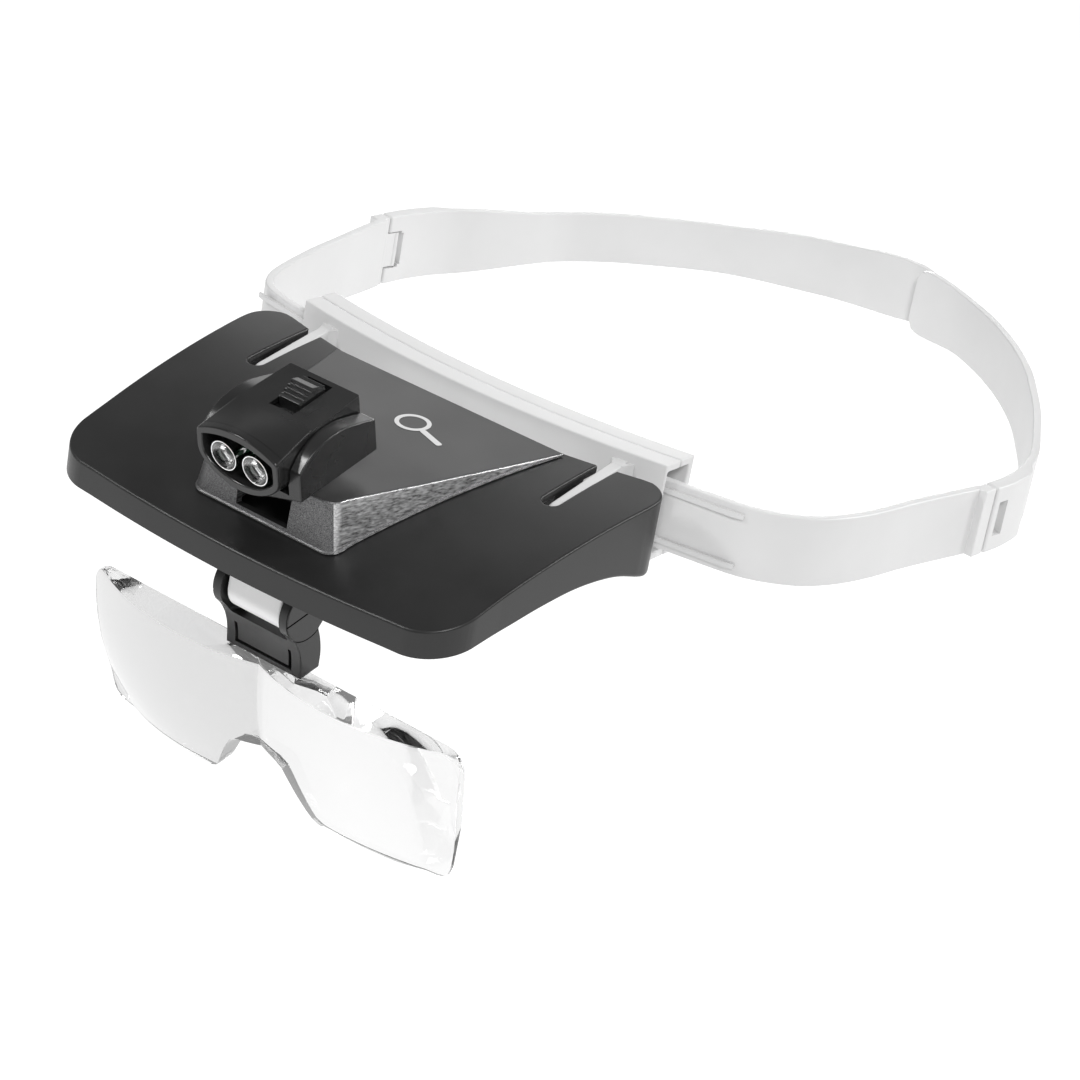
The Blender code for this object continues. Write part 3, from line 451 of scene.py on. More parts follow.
PEDESTAL_TOP_MATERIAL = moulded_plastic(
    "pedestal_top", (0.02, 0.02, 0.02), (0.035, 0.035, 0.035), 0.36, 3800.0, 0.00006)
# the front faces' darker copy of the pedestal paint is painted shade
PEDESTAL_FRONT_PAINTED_SHADE = sparkling_painted_shade("pedestal_front_painted_shade")
# The carriage's white is a brighter copy of the strap white: painted light against the shade under the
# deck.
CARRIAGE_PAINTED_LIGHT = moulded_plastic(
    "carriage_white_painted_light", (0.88, 0.88, 0.88), (0.92, 0.92, 0.92), 0.38, 5000.0, 0.00002)
PRINT_MATERIAL = moulded_plastic(
    "sign_print", (0.66, 0.66, 0.66), (0.7, 0.7, 0.7), 0.5, 5000.0, 0.00001)


# ---------------------------------------------------------------- brow bar

def bar_point(x, depth):
    """The bar's bow in plan: the point at x, a depth behind its front face."""
    radius = BAR_RADIUS - depth
    return (x, BAR_FRONT_Y + BAR_RADIUS - math.sqrt(radius ** 2 - x ** 2))


def bar_sweep(section, half, stations):
    rows = []
    for i in range(stations + 1):
        x = -half + 2 * half * i / stations
        rows.append([(*bar_point(x, depth), z) for depth, z in section])
    return loft(rows)


def arm(side):
    """One pivot arm of the bar, with a flared root and a round nose."""
    x = side * ARM_X
    nose = arc((-17.2, -7.0), 2.6, 100, 215, 12)
    outline = [(7.2, 0.6), (6.0, 0.6)] + nose
    outline += arc((TILT_Y, TILT_Z), 4.4, 215, 270, 8) + [(1.0, -14.0), (7.2, -15.4)]
    plate = bevelled(prism(outline, x - 1.5, x + 1.5, "X"), 0.45, 3)
    root = [(-3.0, 6.8), (-3.0, 6.2), (-2.3, 5.4), (-1.4, 4.0), (1.4, 4.0), (2.3, 6.0), (3.0, 7.2),
            (3.0, 7.8)]
    flare = prism([(side * (ARM_X + u), v) for u, v in root], -15.0, 0.3, "Z")
    join(plate, bevelled(flare, 0.3, 2))
    return cut(plate, rod((TILT_Y, TILT_Z), HOLE_RADIUS, x - 3, x + 3, "X"))


def bar_shells():
    """The bar's front and rear halves, which close a sleeve for the straps between them."""
    grey = MATERIALS["band_grey_plastic"]
    section = [(0, BAR_BOTTOM), (5.7, BAR_BOTTOM), (5.7, SLEEVE_BOTTOM), (1.0, SLEEVE_BOTTOM),
               (1.0, SLEEVE_TOP), (5.7, SLEEVE_TOP), (5.7, BAR_TOP), (0, BAR_TOP)]
    front = bevelled(bar_sweep(section, BAR_HALF, 61), 0.4, 3)
    for side in (-1, 1):
        join(front, arm(side))
    finish(front, "bar_front", grey, "headband", ["bar_front_shell"])
    section = [(6.0, BAR_BOTTOM), (11.2, BAR_BOTTOM), (11.2, BAR_TOP), (6.0, BAR_TOP),
               (6.0, SLEEVE_TOP), (9.4, SLEEVE_TOP), (9.4, SLEEVE_BOTTOM), (6.0, SLEEVE_BOTTOM)]
    rear = bevelled(bar_sweep(section, BAR_HALF, 61), 0.4, 3)
    for x in SCREW_X:
        cut(rear, rod((x, SCREW_Z), 1.5, 6.0, 24.0, "Y", 24))
    finish(rear, "bar_rear", grey, "headband", ["bar_rear_shell"])


def forehead_foam():
    """The foam pad, crowned between rounded edges."""
    low, high = BAR_BOTTOM + 1.0, BAR_TOP - 1.0
    half, stations = BAR_HALF - 1.0, 72
    rows = []
    for i in range(stations + 1):
        x = -half + 2 * half * i / stations
        end = max(0.0, 1.0 - (half - abs(x)) / 2.2)
        fall = 1.0 - math.sqrt(1.0 - end * end)
        section = []
        for k in range(33):
            turn = math.pi * k / 32
            height = (low + high) / 2 - math.cos(turn) * ((high - low) / 2 - 1.6 * fall)
            swell = math.sin(turn) ** 0.35 * (1.0 - 0.75 * fall)
            section.append((11.6 + 2.5 * swell, height))
        section += [(11.5, high - 0.6 - 1.6 * fall), (11.5, low + 0.6 + 1.6 * fall)]
        rows.append([(*bar_point(x, depth), z) for depth, z in section])
    pad = finish(loft(rows), "forehead_foam", MATERIALS["pad_foam"], "headband",
                 ["forehead_pad"], 50.0)


# ---------------------------------------------------------------- straps

FRONT_PATHS = {
    "left": [TONGUE_INNER, TONGUE_OUTER, (70, 14.7), (77, 16.6), (83, 20.3), (88.3, 25.6),
             (92.3, 33.5), (95, 43), (97.2, 56), (100, 69), (102.4, 79.5)],
    "right": [TONGUE_INNER, TONGUE_OUTER, (68.5, 14.6), (75.6, 18.0), (80, 24), (83, 32.5),
              (86.3, 47), (87.7, 58), (89.2, 70), (90.6, 81.5)],
}
REAR_PATHS = {
    "left": [(102.8, 81.8), (103.3, 90), (102.2, 101), (98.5, 112), (92, 124.4), (84.9, 137),
             (77, 149), (69, 160.3), (60, 170.6), (50.3, 179.8), (39.5, 188), (27.6, 194.6),
             (11, 199.6)],
    "right": [(91, 83.8), (90, 93), (87.3, 103.5), (82.3, 115.4), (76.8, 129), (72.4, 139.8),
              (66.3, 150.8), (59, 160.5), (42.6, 177.8), (23.8, 191.3), (3, 200.5), (-15, 204)],
}
REAR_HEIGHTS = {
    "left": [(0.0, STRAP_HEIGHT), (0.85, STRAP_HEIGHT - 0.8), (0.97, 19.0), (0.985, 18.2),
             (0.995, 16.0), (1.0, 13.5)],
    "right": [(0.0, RIGHT_JOINT_HEIGHT), (0.12, 19.0), (0.35, 14.6), (0.62, 14.4), (0.80, 16.6),
              (0.93, 18.0), (0.97, 17.2), (0.99, 15.0), (1.0, 11.5)],
}
REAR_THICKNESS = [(0.0, 3.9), (0.10, 3.9), (0.135, STRAP_THICKNESS), (1.0, STRAP_THICKNESS)]


def mirrored(points, side):
    return [(side * x, y) for x, y in points]


def ribbon(path, outward, thickness, height, edge=0.55):
    """A band with rounded edges along a plan path, closed by two shrunken end sections."""
    lengths = [0.0]
    for a, b in zip(path, path[1:]):
        lengths.append(lengths[-1] + math.dist(a, b))
    stations = []
    for i, point in enumerate(path):
        a, b = path[max(i - 1, 0)], path[min(i + 1, len(path) - 1)]
        tangent = Vector((b[0] - a[0], b[1] - a[1])).normalized()
        stations.append((Vector(point), tangent, lengths[i] / lengths[-1], 0.0))
    first, last = stations[0], stations[-1]
    stations[0] = (first[0] + first[1] * edge, first[1], 0.0, 0.0)
    stations[-1] = (last[0] - last[1] * edge, last[1], 1.0, 0.0)
    for turn in (30.0, 60.0, 90.0):
        inset = edge * (1 - math.cos(math.radians(turn)))
        along = edge * (1 - math.sin(math.radians(turn)))
        stations.insert(0, (first[0] + first[1] * along, first[1], 0.0, inset))
        stations.append((last[0] - last[1] * along, last[1], 1.0, inset))
    sections = []
    for centre, tangent, share, inset in stations:
        normal = Vector((tangent.y, -tangent.x)) * outward
        low, high = -STRAP_THICKNESS / 2 + inset, -STRAP_THICKNESS / 2 + thickness(share) - inset
        half = height(share) / 2 - inset
        loop = rounded([(low, -half), (high, -half), (high, half), (low, half)], edge, 3)
        sections.append([(*(centre + normal * u), STRAP_Z + v) for u, v in loop])
    return loft(sections)


def strap_joint(hand):
    """Local axes at a strap joint: x along the strap to the rear, y outwards, z up."""
    side = SIDES[hand]
    seam, step = (Vector(p) for p in REAR_PATHS[hand][:2])
    along = (step - seam).normalized()
    hinge = seam + along * KNUCKLE
    x_axis = Vector((side * along.x, along.y, 0))
    y_axis = Vector((side * along.y, -along.x, 0))
    origin = Vector((side * hinge.x, hinge.y, STRAP_Z))
    rows = [(x_axis[i], y_axis[i], (0, 0, 1)[i], origin[i]) for i in range(3)]
    return Matrix(rows + [(0, 0, 0, 1)])


def front_strap(hand):
    """A strap that slides in the bar: two rails on its tongue, and a hook at its rear end."""
    side = SIDES[hand]
    path = curve_through(FRONT_PATHS[hand], 10)
    straight = [p for p in path if p[0] >= TONGUE_OUTER[0] - 0.01]
    path = mirrored([TONGUE_INNER] + straight, side)
    end_height = {"left": STRAP_HEIGHT, "right": RIGHT_JOINT_HEIGHT}[hand]
    heights = [(0.0, STRAP_HEIGHT), (0.62, STRAP_HEIGHT), (1.0, end_height)]
    strap = ribbon(path, side, lambda s: STRAP_THICKNESS, lambda s: eased(s, heights))
    along = Vector(TONGUE_OUTER) - Vector(TONGUE_INNER)
    reach = along.length
    frame_of = (Matrix.Translation((*TONGUE_INNER, STRAP_Z))
                @ Matrix.Rotation(math.atan2(along.y, along.x), 4, "Z"))
    if side < 0:
        frame_of = Matrix.Scale(-1, 4, (1, 0, 0)) @ frame_of
    outer = -STRAP_THICKNESS / 2
    for z in (-STRAP_HEIGHT / 2 + 2.4, STRAP_HEIGHT / 2 - 2.4):
        rail = prism([(1.0, outer - 0.6), (reach + 16.0, outer - 0.6), (reach + 19.0, outer - 0.1),
                      (reach + 19.0, outer + 0.5), (1.0, outer + 0.5)], z - 0.7, z + 0.7, "Z")
        join(strap, moved(bevelled(rail, 0.22, 2), frame_of))
    if hand == "right":
        for i in range(4):
            z = -0.6 + 1.5 * i
            ridge = box((reach + 1.5, reach + 10.0), (outer - 0.45, outer + 0.5), (z - 0.3, z + 0.3))
            join(strap, moved(bevelled(ridge, 0.14, 2), frame_of))
    inward = -STRAP_THICKNESS / 2
    end = bevelled(box((-KNUCKLE - 5.0, -KNUCKLE - 0.5), (inward, inward + 3.6),
                       (-end_height / 2, end_height / 2)), 0.4, 3)
    join(end, box((-KNUCKLE - 1.4, 0.0), (inward + 0.4, inward + 1.8), (-4.9, 4.9)),
         rod((0.0, inward + 1.1), 1.0, -4.9, 4.9, "Z", 24),
         rod((0.0, inward + 1.1), 0.6, -5.9, 5.9, "Z", 20))
    join(strap, moved(end, strap_joint(hand)))
    finish(strap, f"strap_front_{hand}", MATERIALS["strap_white_plastic"],
           f"front_strap_{hand}", [f"front_strap_{hand}"])


def rear_strap(hand):
    """A strap round the back of the head, with the hook's socket and a round moulding mark."""
    side = SIDES[hand]
    path = mirrored(curve_through(REAR_PATHS[hand], 10), side)
    strap = ribbon(path, side, lambda s: eased(s, REAR_THICKNESS),
                   lambda s: eased(s, REAR_HEIGHTS[hand]))
    frame_of = strap_joint(hand)
    inward = -STRAP_THICKNESS / 2
    socket = box((-KNUCKLE - 1.0, 1.6), (inward - 1.0, inward + 2.8), (-5.3, 5.3))
    window = box((-1.2, 2.4), (inward - 2.0, inward + 6.0), (-4.6, 4.6))
    pits = rod((0.0, inward + 1.1), 1.0, -6.4, 6.4, "Z", 20)
    gate = prism(circle((9.5, 0.0), 1.3, 28), inward + 3.72, inward + 6.0, "Y")
    cut(gate, prism(circle((9.5, 0.0), 1.0, 28), inward + 3.0, inward + 7.0, "Y"))
    for cutter in (socket, window, pits, gate):
        cut(strap, moved(cutter, frame_of))
    finish(strap, f"strap_rear_{hand}", MATERIALS["strap_white_plastic"],
           f"rear_strap_{hand}", [f"rear_strap_{hand}"])


# ---------------------------------------------------------------- visor deck

UNDERSIDE = curve_through([(6, -19.6), (-3, -19.6), (-15, -16.7), (-28, -16.1), (-40, -17.5),
                           (-50, -19.4), (-60, -21.3), (-70, -23.5), (-80, -26.2)], 6)


def deck_top(y):
    """The height of the deck's arched top."""
    return 0.1028 * y - 0.00186 * y * y


def deck_outline(inset, open_rear=0.0):
    """The deck's plan; an inset one can run out behind the rear edge."""
    def rear(x):
        return DECK_REAR_Y + x * x / 414 + open_rear
    side_x, front_x = DECK_SIDE_REAR - inset, DECK_SIDE_FRONT - inset
    front_y, corner = DECK_FRONT_Y + inset, 12.5 - inset
    half = [(x, rear(x)) for x in range(0, 52, 4)]
    if open_rear:
        half += [(side_x + 0.5, rear(55)), (side_x, -8.0)]
    else:
        half += [(54.5, rear(54.5))] + arc((55.5, -4.7), 8.0, 80, 0, 14) + [(side_x, -7.0)]
    half += [(front_x + 0.3, -55.0)]
    half += arc((front_x - corner, front_y + 2.33 + corner), corner, 0, -84, 18)
    half += [(x, front_y + x * x / 948) for x in range(44, -1, -4)]
    return half + [(-x, y) for x, y in half[-2:0:-1]]


def bend_deck(blank):
    """Takes a deck drawn flat to its arched top and its curved lower edge."""
    drawn = bmesh.new()
    drawn.from_mesh(blank.data)
    for i in range(56):
        cut_y = -77.0 + 1.5 * i
        bmesh.ops.bisect_plane(drawn, geom=drawn.verts[:] + drawn.edges[:] + drawn.faces[:],
                               plane_co=(0, cut_y, 0), plane_no=(0, 1, 0), dist=1e-4)
    lower = sorted(UNDERSIDE)
    for vertex in drawn.verts:
        _, y, z = vertex.co
        if z >= -DECK_SKIN - 1e-4:
            vertex.co.z = deck_top(y) + z
            continue
        share = (-DECK_SKIN - z) / (-DECK_SKIN - DECK_RIM)
        skin = deck_top(y) - DECK_SKIN
        vertex.co.z = skin + (between(y, lower) - skin) * share
    drawn.to_mesh(blank.data)
    drawn.free()
    return blank


def visor_deck():
    """The deck: a thin skin and rim, slots and bosses for the bar's arms, and the lens rails."""
    deck = prism(deck_outline(0.0), DECK_RIM, 0.0, "Z")
    cut(deck, prism(deck_outline(DECK_WALL, 20.0), DECK_RIM - 5, -DECK_SKIN, "Z"))
    for side in (-1, 1):
        x0, x1 = sorted((side * SLOT_INNER, side * SLOT_OUTER))
        ends = arc(((x0 + x1) / 2, SLOT_FRONT + 2.25), 2.25, 180, 360, 16)
        cut(deck, prism([(x0, 10)] + ends + [(x1, 10)], -30, 8, "Z"))
    bend_deck(bevelled(deck, 0.6, 4, 50))
    for side in (-1, 1):
        x0, x1 = sorted((side * SLOT_INNER, side * SLOT_OUTER))
        for a, b in ((x0 - 4.4, x0 - 0.1), (x1 + 0.1, x1 + 4.4)):
            boss = [(-15.5, -3.0), (-4.8, -1.8), (-4.8, -9.0)]
            boss += arc((TILT_Y, TILT_Z), 4.2, -10, -170, 14) + [(-15.5, -9.0)]
            join(deck, prism(boss, a, b, "X"))
        cut(deck, rod((TILT_Y, TILT_Z), HOLE_RADIUS, x0 - 8, x1 + 8, "X"))
        guide = [(8.9, -5.2), (14.6, -5.2), (14.6, 1.4), (12.9, 1.4), (12.9, -3.4), (8.9, -3.4)]
        guide = prism([(side * x, w) for x, w in guide], -13.5, 26.5, "Y")
        join(deck, moved(bevelled(guide, 0.25, 2), rail_frame()))
    finish(deck, "visor_shell", MATERIALS["deck_black_plastic"], "visor",
           ["visor_deck"])


def rail_frame():
    """Local axes of the carriage rails: y along the rail to the rear, z square to it."""
    foot = Vector((0, FOLD_Y, deck_top(FOLD_Y) - DECK_SKIN - 0.6))
    return Matrix.Translation(foot) @ Matrix.Rotation(RAIL_TILT, 4, "X")


# ---------------------------------------------------------------- pedestal

def pedestal_top(y):
    return 0.4 + PEDESTAL_SLOPE * (y + 1.4)


def pedestal_ring(inset, level):
    """The wedge's plan at one level, drawn in by an inset and by its sides' draft."""
    def half_width(y):
        share = (y - PEDESTAL_FRONT_Y) / (PEDESTAL_REAR_Y - PEDESTAL_FRONT_Y)
        return PEDESTAL_FRONT_HALF + PEDESTAL_SPREAD * share
    corner = 3.6
    half = [(half_width(y), y) for y in range(-3, -63, -3)]
    corner_y = PEDESTAL_FRONT_Y + corner
    centre = (half_width(corner_y) - corner + 0.35, corner_y)
    half += arc(centre, corner, 8, -90, 12)
    ring = []
    for x, y in half:
        height = level(y)
        draft = PEDESTAL_DRAFT * max(0.0, height - deck_top(y))
        if y < centre[1]:
            outward = (Vector((x, y)) - Vector(centre)).normalized() * inset(y)
        else:
            outward = Vector((inset(y), 0))
        ring.append((x - outward.x - draft, y - outward.y, height))
    return ring + [(-x, y, z) for x, y, z in ring[::-1]]


def pedestal_rise(y):
    """How far the wedge stands out of the deck."""
    return pedestal_top(y) - deck_top(y) - 0.3


def lamp_pedestal():
    """The wedge, with a small lip round its foot and a rounded edge round its top."""
    def foot(share, limit):
        return lambda y: deck_top(y) + 0.3 + min(limit, share * pedestal_rise(y))
    rings = [pedestal_ring(lambda y: -0.25, foot(0.0, 0.0)),
             pedestal_ring(lambda y: -0.25, foot(0.2, 0.3)),
             pedestal_ring(lambda y: 0.0, foot(0.4, 0.6))]
    for degrees in range(0, 91, 18):
        turn = math.radians(degrees)
        rings.append(pedestal_ring(
            lambda y: min(0.5, 0.5 * pedestal_rise(y)) * (1 - math.cos(turn)),
            lambda y: pedestal_top(y) - min(0.5, 0.5 * pedestal_rise(y)) * (1 - math.sin(turn))))
    wedge = loft(rings)
    hollow = loft([pedestal_ring(lambda y: 2.0, lambda y: -30.0),
                   pedestal_ring(lambda y: 2.0, lambda y: pedestal_top(y) - 1.8)])
    cut(wedge, cut(hollow, box((-60, 60), (-30.0, 20.0), (-40.0, 20.0))))
    cut(wedge, prism([(-7.7, -13.4), (7.7, -13.4), (8.4, 4.0), (-8.4, 4.0)], -70.0, -56.0, "Y"))
    for side in (-1, 1):
        x0, x1 = sorted((side * 8.45, side * 11.0))
        cheek = prism([(-64.6, -13.0), (-64.6, -4.4), (-57.5, -4.1), (-57.5, -11.0)], x0, x1, "X")
        join(wedge, cheek)
    cut(wedge, rod((LAMP_HINGE_Y, LAMP_HINGE_Z), HOLE_RADIUS, -12, 12, "X"))
    finish(wedge, "pedestal_wedge", MATERIALS["pedestal_brushed"], "visor",
           ["lamp_pedestal"])
    wedge.data.materials.append(PEDESTAL_TOP_MATERIAL)
    # the faces turned ahead get the darker copy of the paint: painted shade
    wedge.data.materials.append(PEDESTAL_FRONT_PAINTED_SHADE)
    for face in wedge.data.polygons:
        if face.normal.z > 0.9:
            face.material_index = 1
        elif abs(face.normal.x) < 0.75 and face.normal.y < 0.5:
            face.material_index = 2


def loupe_sign():
    """A plain loupe outline printed on the pedestal: a ring and a handle."""
    ring = rod((0, 0), 4.4, 0.02, 0.1, "Z", 64)
    cut(ring, rod((0, 0), 3.3, -1.0, 1.0, "Z", 64))
    handle = prism(rounded([(4.2, -0.8), (12.5, -0.8), (12.5, 0.8), (4.2, 0.8)], 0.7), 0.02, 0.1, "Z")
    join(ring, handle)
    slope = Matrix.Rotation(math.atan(PEDESTAL_SLOPE), 4, "X")
    turn = Matrix.Rotation(math.radians(-20), 4, "Z")
    sign_x, sign_y = 3.0, -19.5
    moved(ring, Matrix.Translation((sign_x, sign_y, pedestal_top(sign_y))) @ slope @ turn)
    finish(ring, "loupe_sign", PRINT_MATERIAL, "visor", [])


# ---------------------------------------------------------------- lamp

def lamp_frame():
    """Local axes of the lamp: x across, y forwards out of the lamp, z up from its top plate."""
    forward = Vector((0, -math.cos(LAMP_TILT), -math.sin(LAMP_TILT)))
    upward = Vector((0, -math.sin(LAMP_TILT), math.cos(LAMP_TILT)))
    rows = [((1, 0, 0)[i], forward[i], upward[i], LAMP_CORNER[i]) for i in range(3)]
    return Matrix(rows + [(0, 0, 0, 1)])


def in_lamp(blank):
    return moved(blank, lamp_frame())


EYE = [(12.1, -1.8), (12.2, -4.4), (12.2, -7.0), (11.8, -8.4), (10.9, -9.6), (9.6, -10.8),
       (8.0, -11.9), (6.2, -12.8), (4.2, -13.5), (2.2, -13.95), (0.0, -14.1)]

def lamp_section(y, shrink=0.0, lift=0.0):
    """The lamp head's section at y: a box at the rear that swells to an eye shape in front."""
    front = max(0.0, min(1.0, y / LAMP_FRONT)) ** 1.15
    half = 10.4 + 0.7 * (min(y, 0.0) + LAMP_REAR) / LAMP_REAR
    square = [(half, 0.0), (half, -2.6), (half, -5.2), (half, -7.6), (half, -9.6), (half, -11.0),
              (half - 0.9, -11.9), (half - 3.2, -11.9), (half - 5.6, -11.9), (half - 8.2, -11.9),
              (0.0, -11.9)]
    right = [(a + (c - a) * front, b + (d - b) * front) for (a, b), (c, d) in zip(square, EYE)]
    (wide, low), high = right[0], lift + 1.25 * front
    low += lift * (1 - front)
    top = [(wide * k / 8, low + (high - low) * (1 - (k / 8) ** 2)) for k in range(8, -1, -1)]
    loop = [(-x, z) for x, z in right[-2:0:-1]] + [(-x, z) for x, z in top[:-1]]
    loop += top[::-1] + right[1:]
    loop = rounded(loop, 0.7, 3)
    across, upright = 1 - shrink / half, 1 + shrink / LAMP_MIDDLE
    return [(x * across, y, LAMP_MIDDLE + (z - LAMP_MIDDLE) * upright) for x, z in loop]


def lamp_head():
    """The lamp's hollow shell with its switch slot and cell bay, and the rim round the lights."""
    gloss = MATERIALS["lamp_black_plastic"]
    stops = [(-LAMP_REAR, 0.35), (-16.7, 0.12), (-16.45, 0.0)]
    stops += [(y, 0.0) for y in (-12, -8, -4, -2, 0.0, 1.5, 3.0, 4.5, 6.0, 7.5, 9.0, 10.5)]
    shell = loft([lamp_section(y, shrink, HOOD_STEP) for y, shrink in stops])
    # behind a bowed line the top steps down to the flat plate
    bow = [(x, -1.9 + 2.1 * (x / 11) ** 2) for x in range(-14, 15)]
    cut(shell, prism([(-14, -20), (14, -20)] + bow[::-1], 0.0, 3.0, "Z"))
    cut(shell, loft([lamp_section(y, 1.3) for y in (-15.3, -8, -3, 0, 1.5, 3.5, 5, 7, 9, 11)]))
    cut(shell, box((-3.6, 3.6), (-15.3, -1.95), (-2.5, 1.5)))
    cut(shell, box((-8.4, 8.4), (-15.0, 0.6), (-15.0, -9.0)))
    finish(in_lamp(shell), "lamp_head", gloss, "lamp", ["lamp_shell"])
    rim = [(10.6, 0.0), (12.3, 0.0), (12.55, 0.06), (12.72, 0.17), (LAMP_FRONT, 0.32)]
    ring = loft([lamp_section(y, shrink, HOOD_STEP) for y, shrink in rim])
    mouth = [(9.0, 1.55), (12.3, 1.55), (12.6, 1.47), (12.9, 1.25)]
    cut(ring, loft([lamp_section(y, shrink) for y, shrink in mouth]))
    finish(in_lamp(ring), "lamp_rim", gloss, "lamp", ["lamp_bezel"], 45.0)


def lamp_lights():
    """Each light: a clear domed bulb with a flange, a lead frame inside, and a stepped cup."""
    for hand, side in SIDES.items():
        spot = Matrix.Translation((side * 4.7, 0, -6.7)) @ Matrix.Rotation(-math.pi / 2, 4, "X")
        dome = [(2.4 * math.cos(math.radians(a)), 10.2 + 2.4 * math.sin(math.radians(a)))
                for a in range(0, 90, 9)]
        light = turned([(0, 4.6), (2.9, 4.6), (2.9, 5.6), (2.4, 5.7)] + dome + [(0, 12.6)], 40)
        finish(in_lamp(moved(light, spot)), f"light_{hand}", MATERIALS["led_clear"], "lamp",
               [f"led_{hand}"])
        die = turned([(0, 7.9), (1.15, 7.9), (1.35, 9.1), (1.0, 9.1), (0.55, 8.4), (0, 8.4)], 24)
        finish(in_lamp(moved(die, spot)), f"light_die_{hand}", MATERIALS["reflector_chrome"],
               "lamp", [])
        cup = turned([(0, 6.0), (3.1, 6.0), (3.35, 7.8), (3.6, 10.0), (3.75, 12.2), (0, 12.2)], 48)
        cut(cup, turned([(0, 5.0), (2.75, 5.0), (2.75, 6.5), (3.0, 8.0), (3.3, 10.0), (3.55, 12.5),
                         (0, 12.5)], 48))
        finish(in_lamp(moved(cup, spot)), f"cup_{hand}", MATERIALS["reflector_chrome"], "lamp",
               [f"reflector_{hand}"])


def lamp_cradle():
    """Two cheeks and a floor that hold the lamp, with the hinge lug below."""
    top = curve_through([(8.8, -5.4), (4.6, -2.4), (-0.2, -1.0), (-6.0, -1.1), (-11.5, -2.6),
                         (-16.7, -4.5)], 8)
    foot = [(-16.7, -13.8), (4.8, -13.8), (6.0, -17.2), (8.8, -17.2)]
    cradle = prism(top + foot, -15.0, 15.0, "X")
    belly = curve_through([(-15.5, -12.7), (-12.7, -13.4), (-10.3, -14.2), (-7.9, -14.9), (-5.6, -15.6),
                           (-3.2, -16.3), (0, -16.6), (3.2, -16.3), (5.6, -15.6), (7.9, -14.9),
                           (10.3, -14.2), (12.7, -13.4), (15.5, -12.7)], 3)
    cut(cradle, prism(belly + [(16.0, -19.0), (-16.0, -19.0)], -20.0, 12.0, "Y"))
    bevelled(cradle, 0.45, 3, 40)
    cut(cradle, prism([(-11.5, 12.0), (-10.9, -18.0), (10.9, -18.0), (11.5, 12.0)],
                      -12.3, 2.0, "Z"))
    cut(cradle, loft([lamp_section(y, -0.3) for y in (-1.0, 2.0, 5.0, 8.0, 12.0)]))
    in_lamp(cradle)
    lug = [(-66.2, -1.4)] + arc((LAMP_HINGE_Y, LAMP_HINGE_Z), 3.0, 180, 360, 20) + [(-58.6, 0.6)]
    lug = bevelled(prism(lug, -6.8, 6.8, "X"), 0.3, 2)
    cut(lug, rod((LAMP_HINGE_Y, LAMP_HINGE_Z), HOLE_RADIUS, -8, 8, "X"))
    finish(join(cradle, lug), "cradle", MATERIALS["lamp_black_plastic"], "lamp",
           ["lamp_cradle"])


def switch_knob():
    """A finger hump with three ribs, on a slider that shutters the slot."""
    side_view = [(-13.4, -2.4), (-13.4, 1.2), (-13.2, 1.5), (-11.8, 1.5), (-11.3, 2.2), (-9.3, 3.0)]
    for i in range(3):
        y, z = -8.95 + 1.12 * i, 2.95 - 0.56 * i
        side_view += [(y, z), (y + 0.12, z - 0.75), (y + 0.42, z - 0.85)]
    side_view += [(-5.6, 1.3), (-4.8, 0.9), (-4.7, -2.4)]
    knob = bevelled(prism(side_view, -3.1, 3.1, "X"), 0.12, 2, 25)
    join(knob, box((-4.6, 4.6), (-14.9, -2.5), (-2.9, -1.9)))
    finish(in_lamp(knob), "switch_slider", MATERIALS["lamp_black_plastic"], "lamp_switch",
           ["switch_knob"])


# ---------------------------------------------------------------- lens holder

def lens_carriage():
    """The white slider in the deck's rails, and the barrel of the fold hinge."""
    plate = moved(bevelled(box((-12.4, 12.4), (-9.5, 9.5), (-3.0, -0.7)), 0.4, 3), rail_frame())
    neck = [(-64.6, -21.0), (-65.3, FOLD_Z)] + arc((FOLD_Y, FOLD_Z), 5.9, 190, 350, 28)
    neck += [(-53.8, -30.0), (-53.6, -17.2), (-64.2, -19.0)]
    join(plate, bevelled(prism(neck, -8.2, 8.2, "X"), 0.6, 3, 25))
    cut(plate, rod((FOLD_Y, FOLD_Z), HOLE_RADIUS, -14, 14, "X"))
    # the slider gets the brighter copy of the strap white: painted light against the shade under the
    # deck
    finish(plate, "lens_slider", CARRIAGE_PAINTED_LIGHT, "lens_carriage",
           ["lens_carriage"])


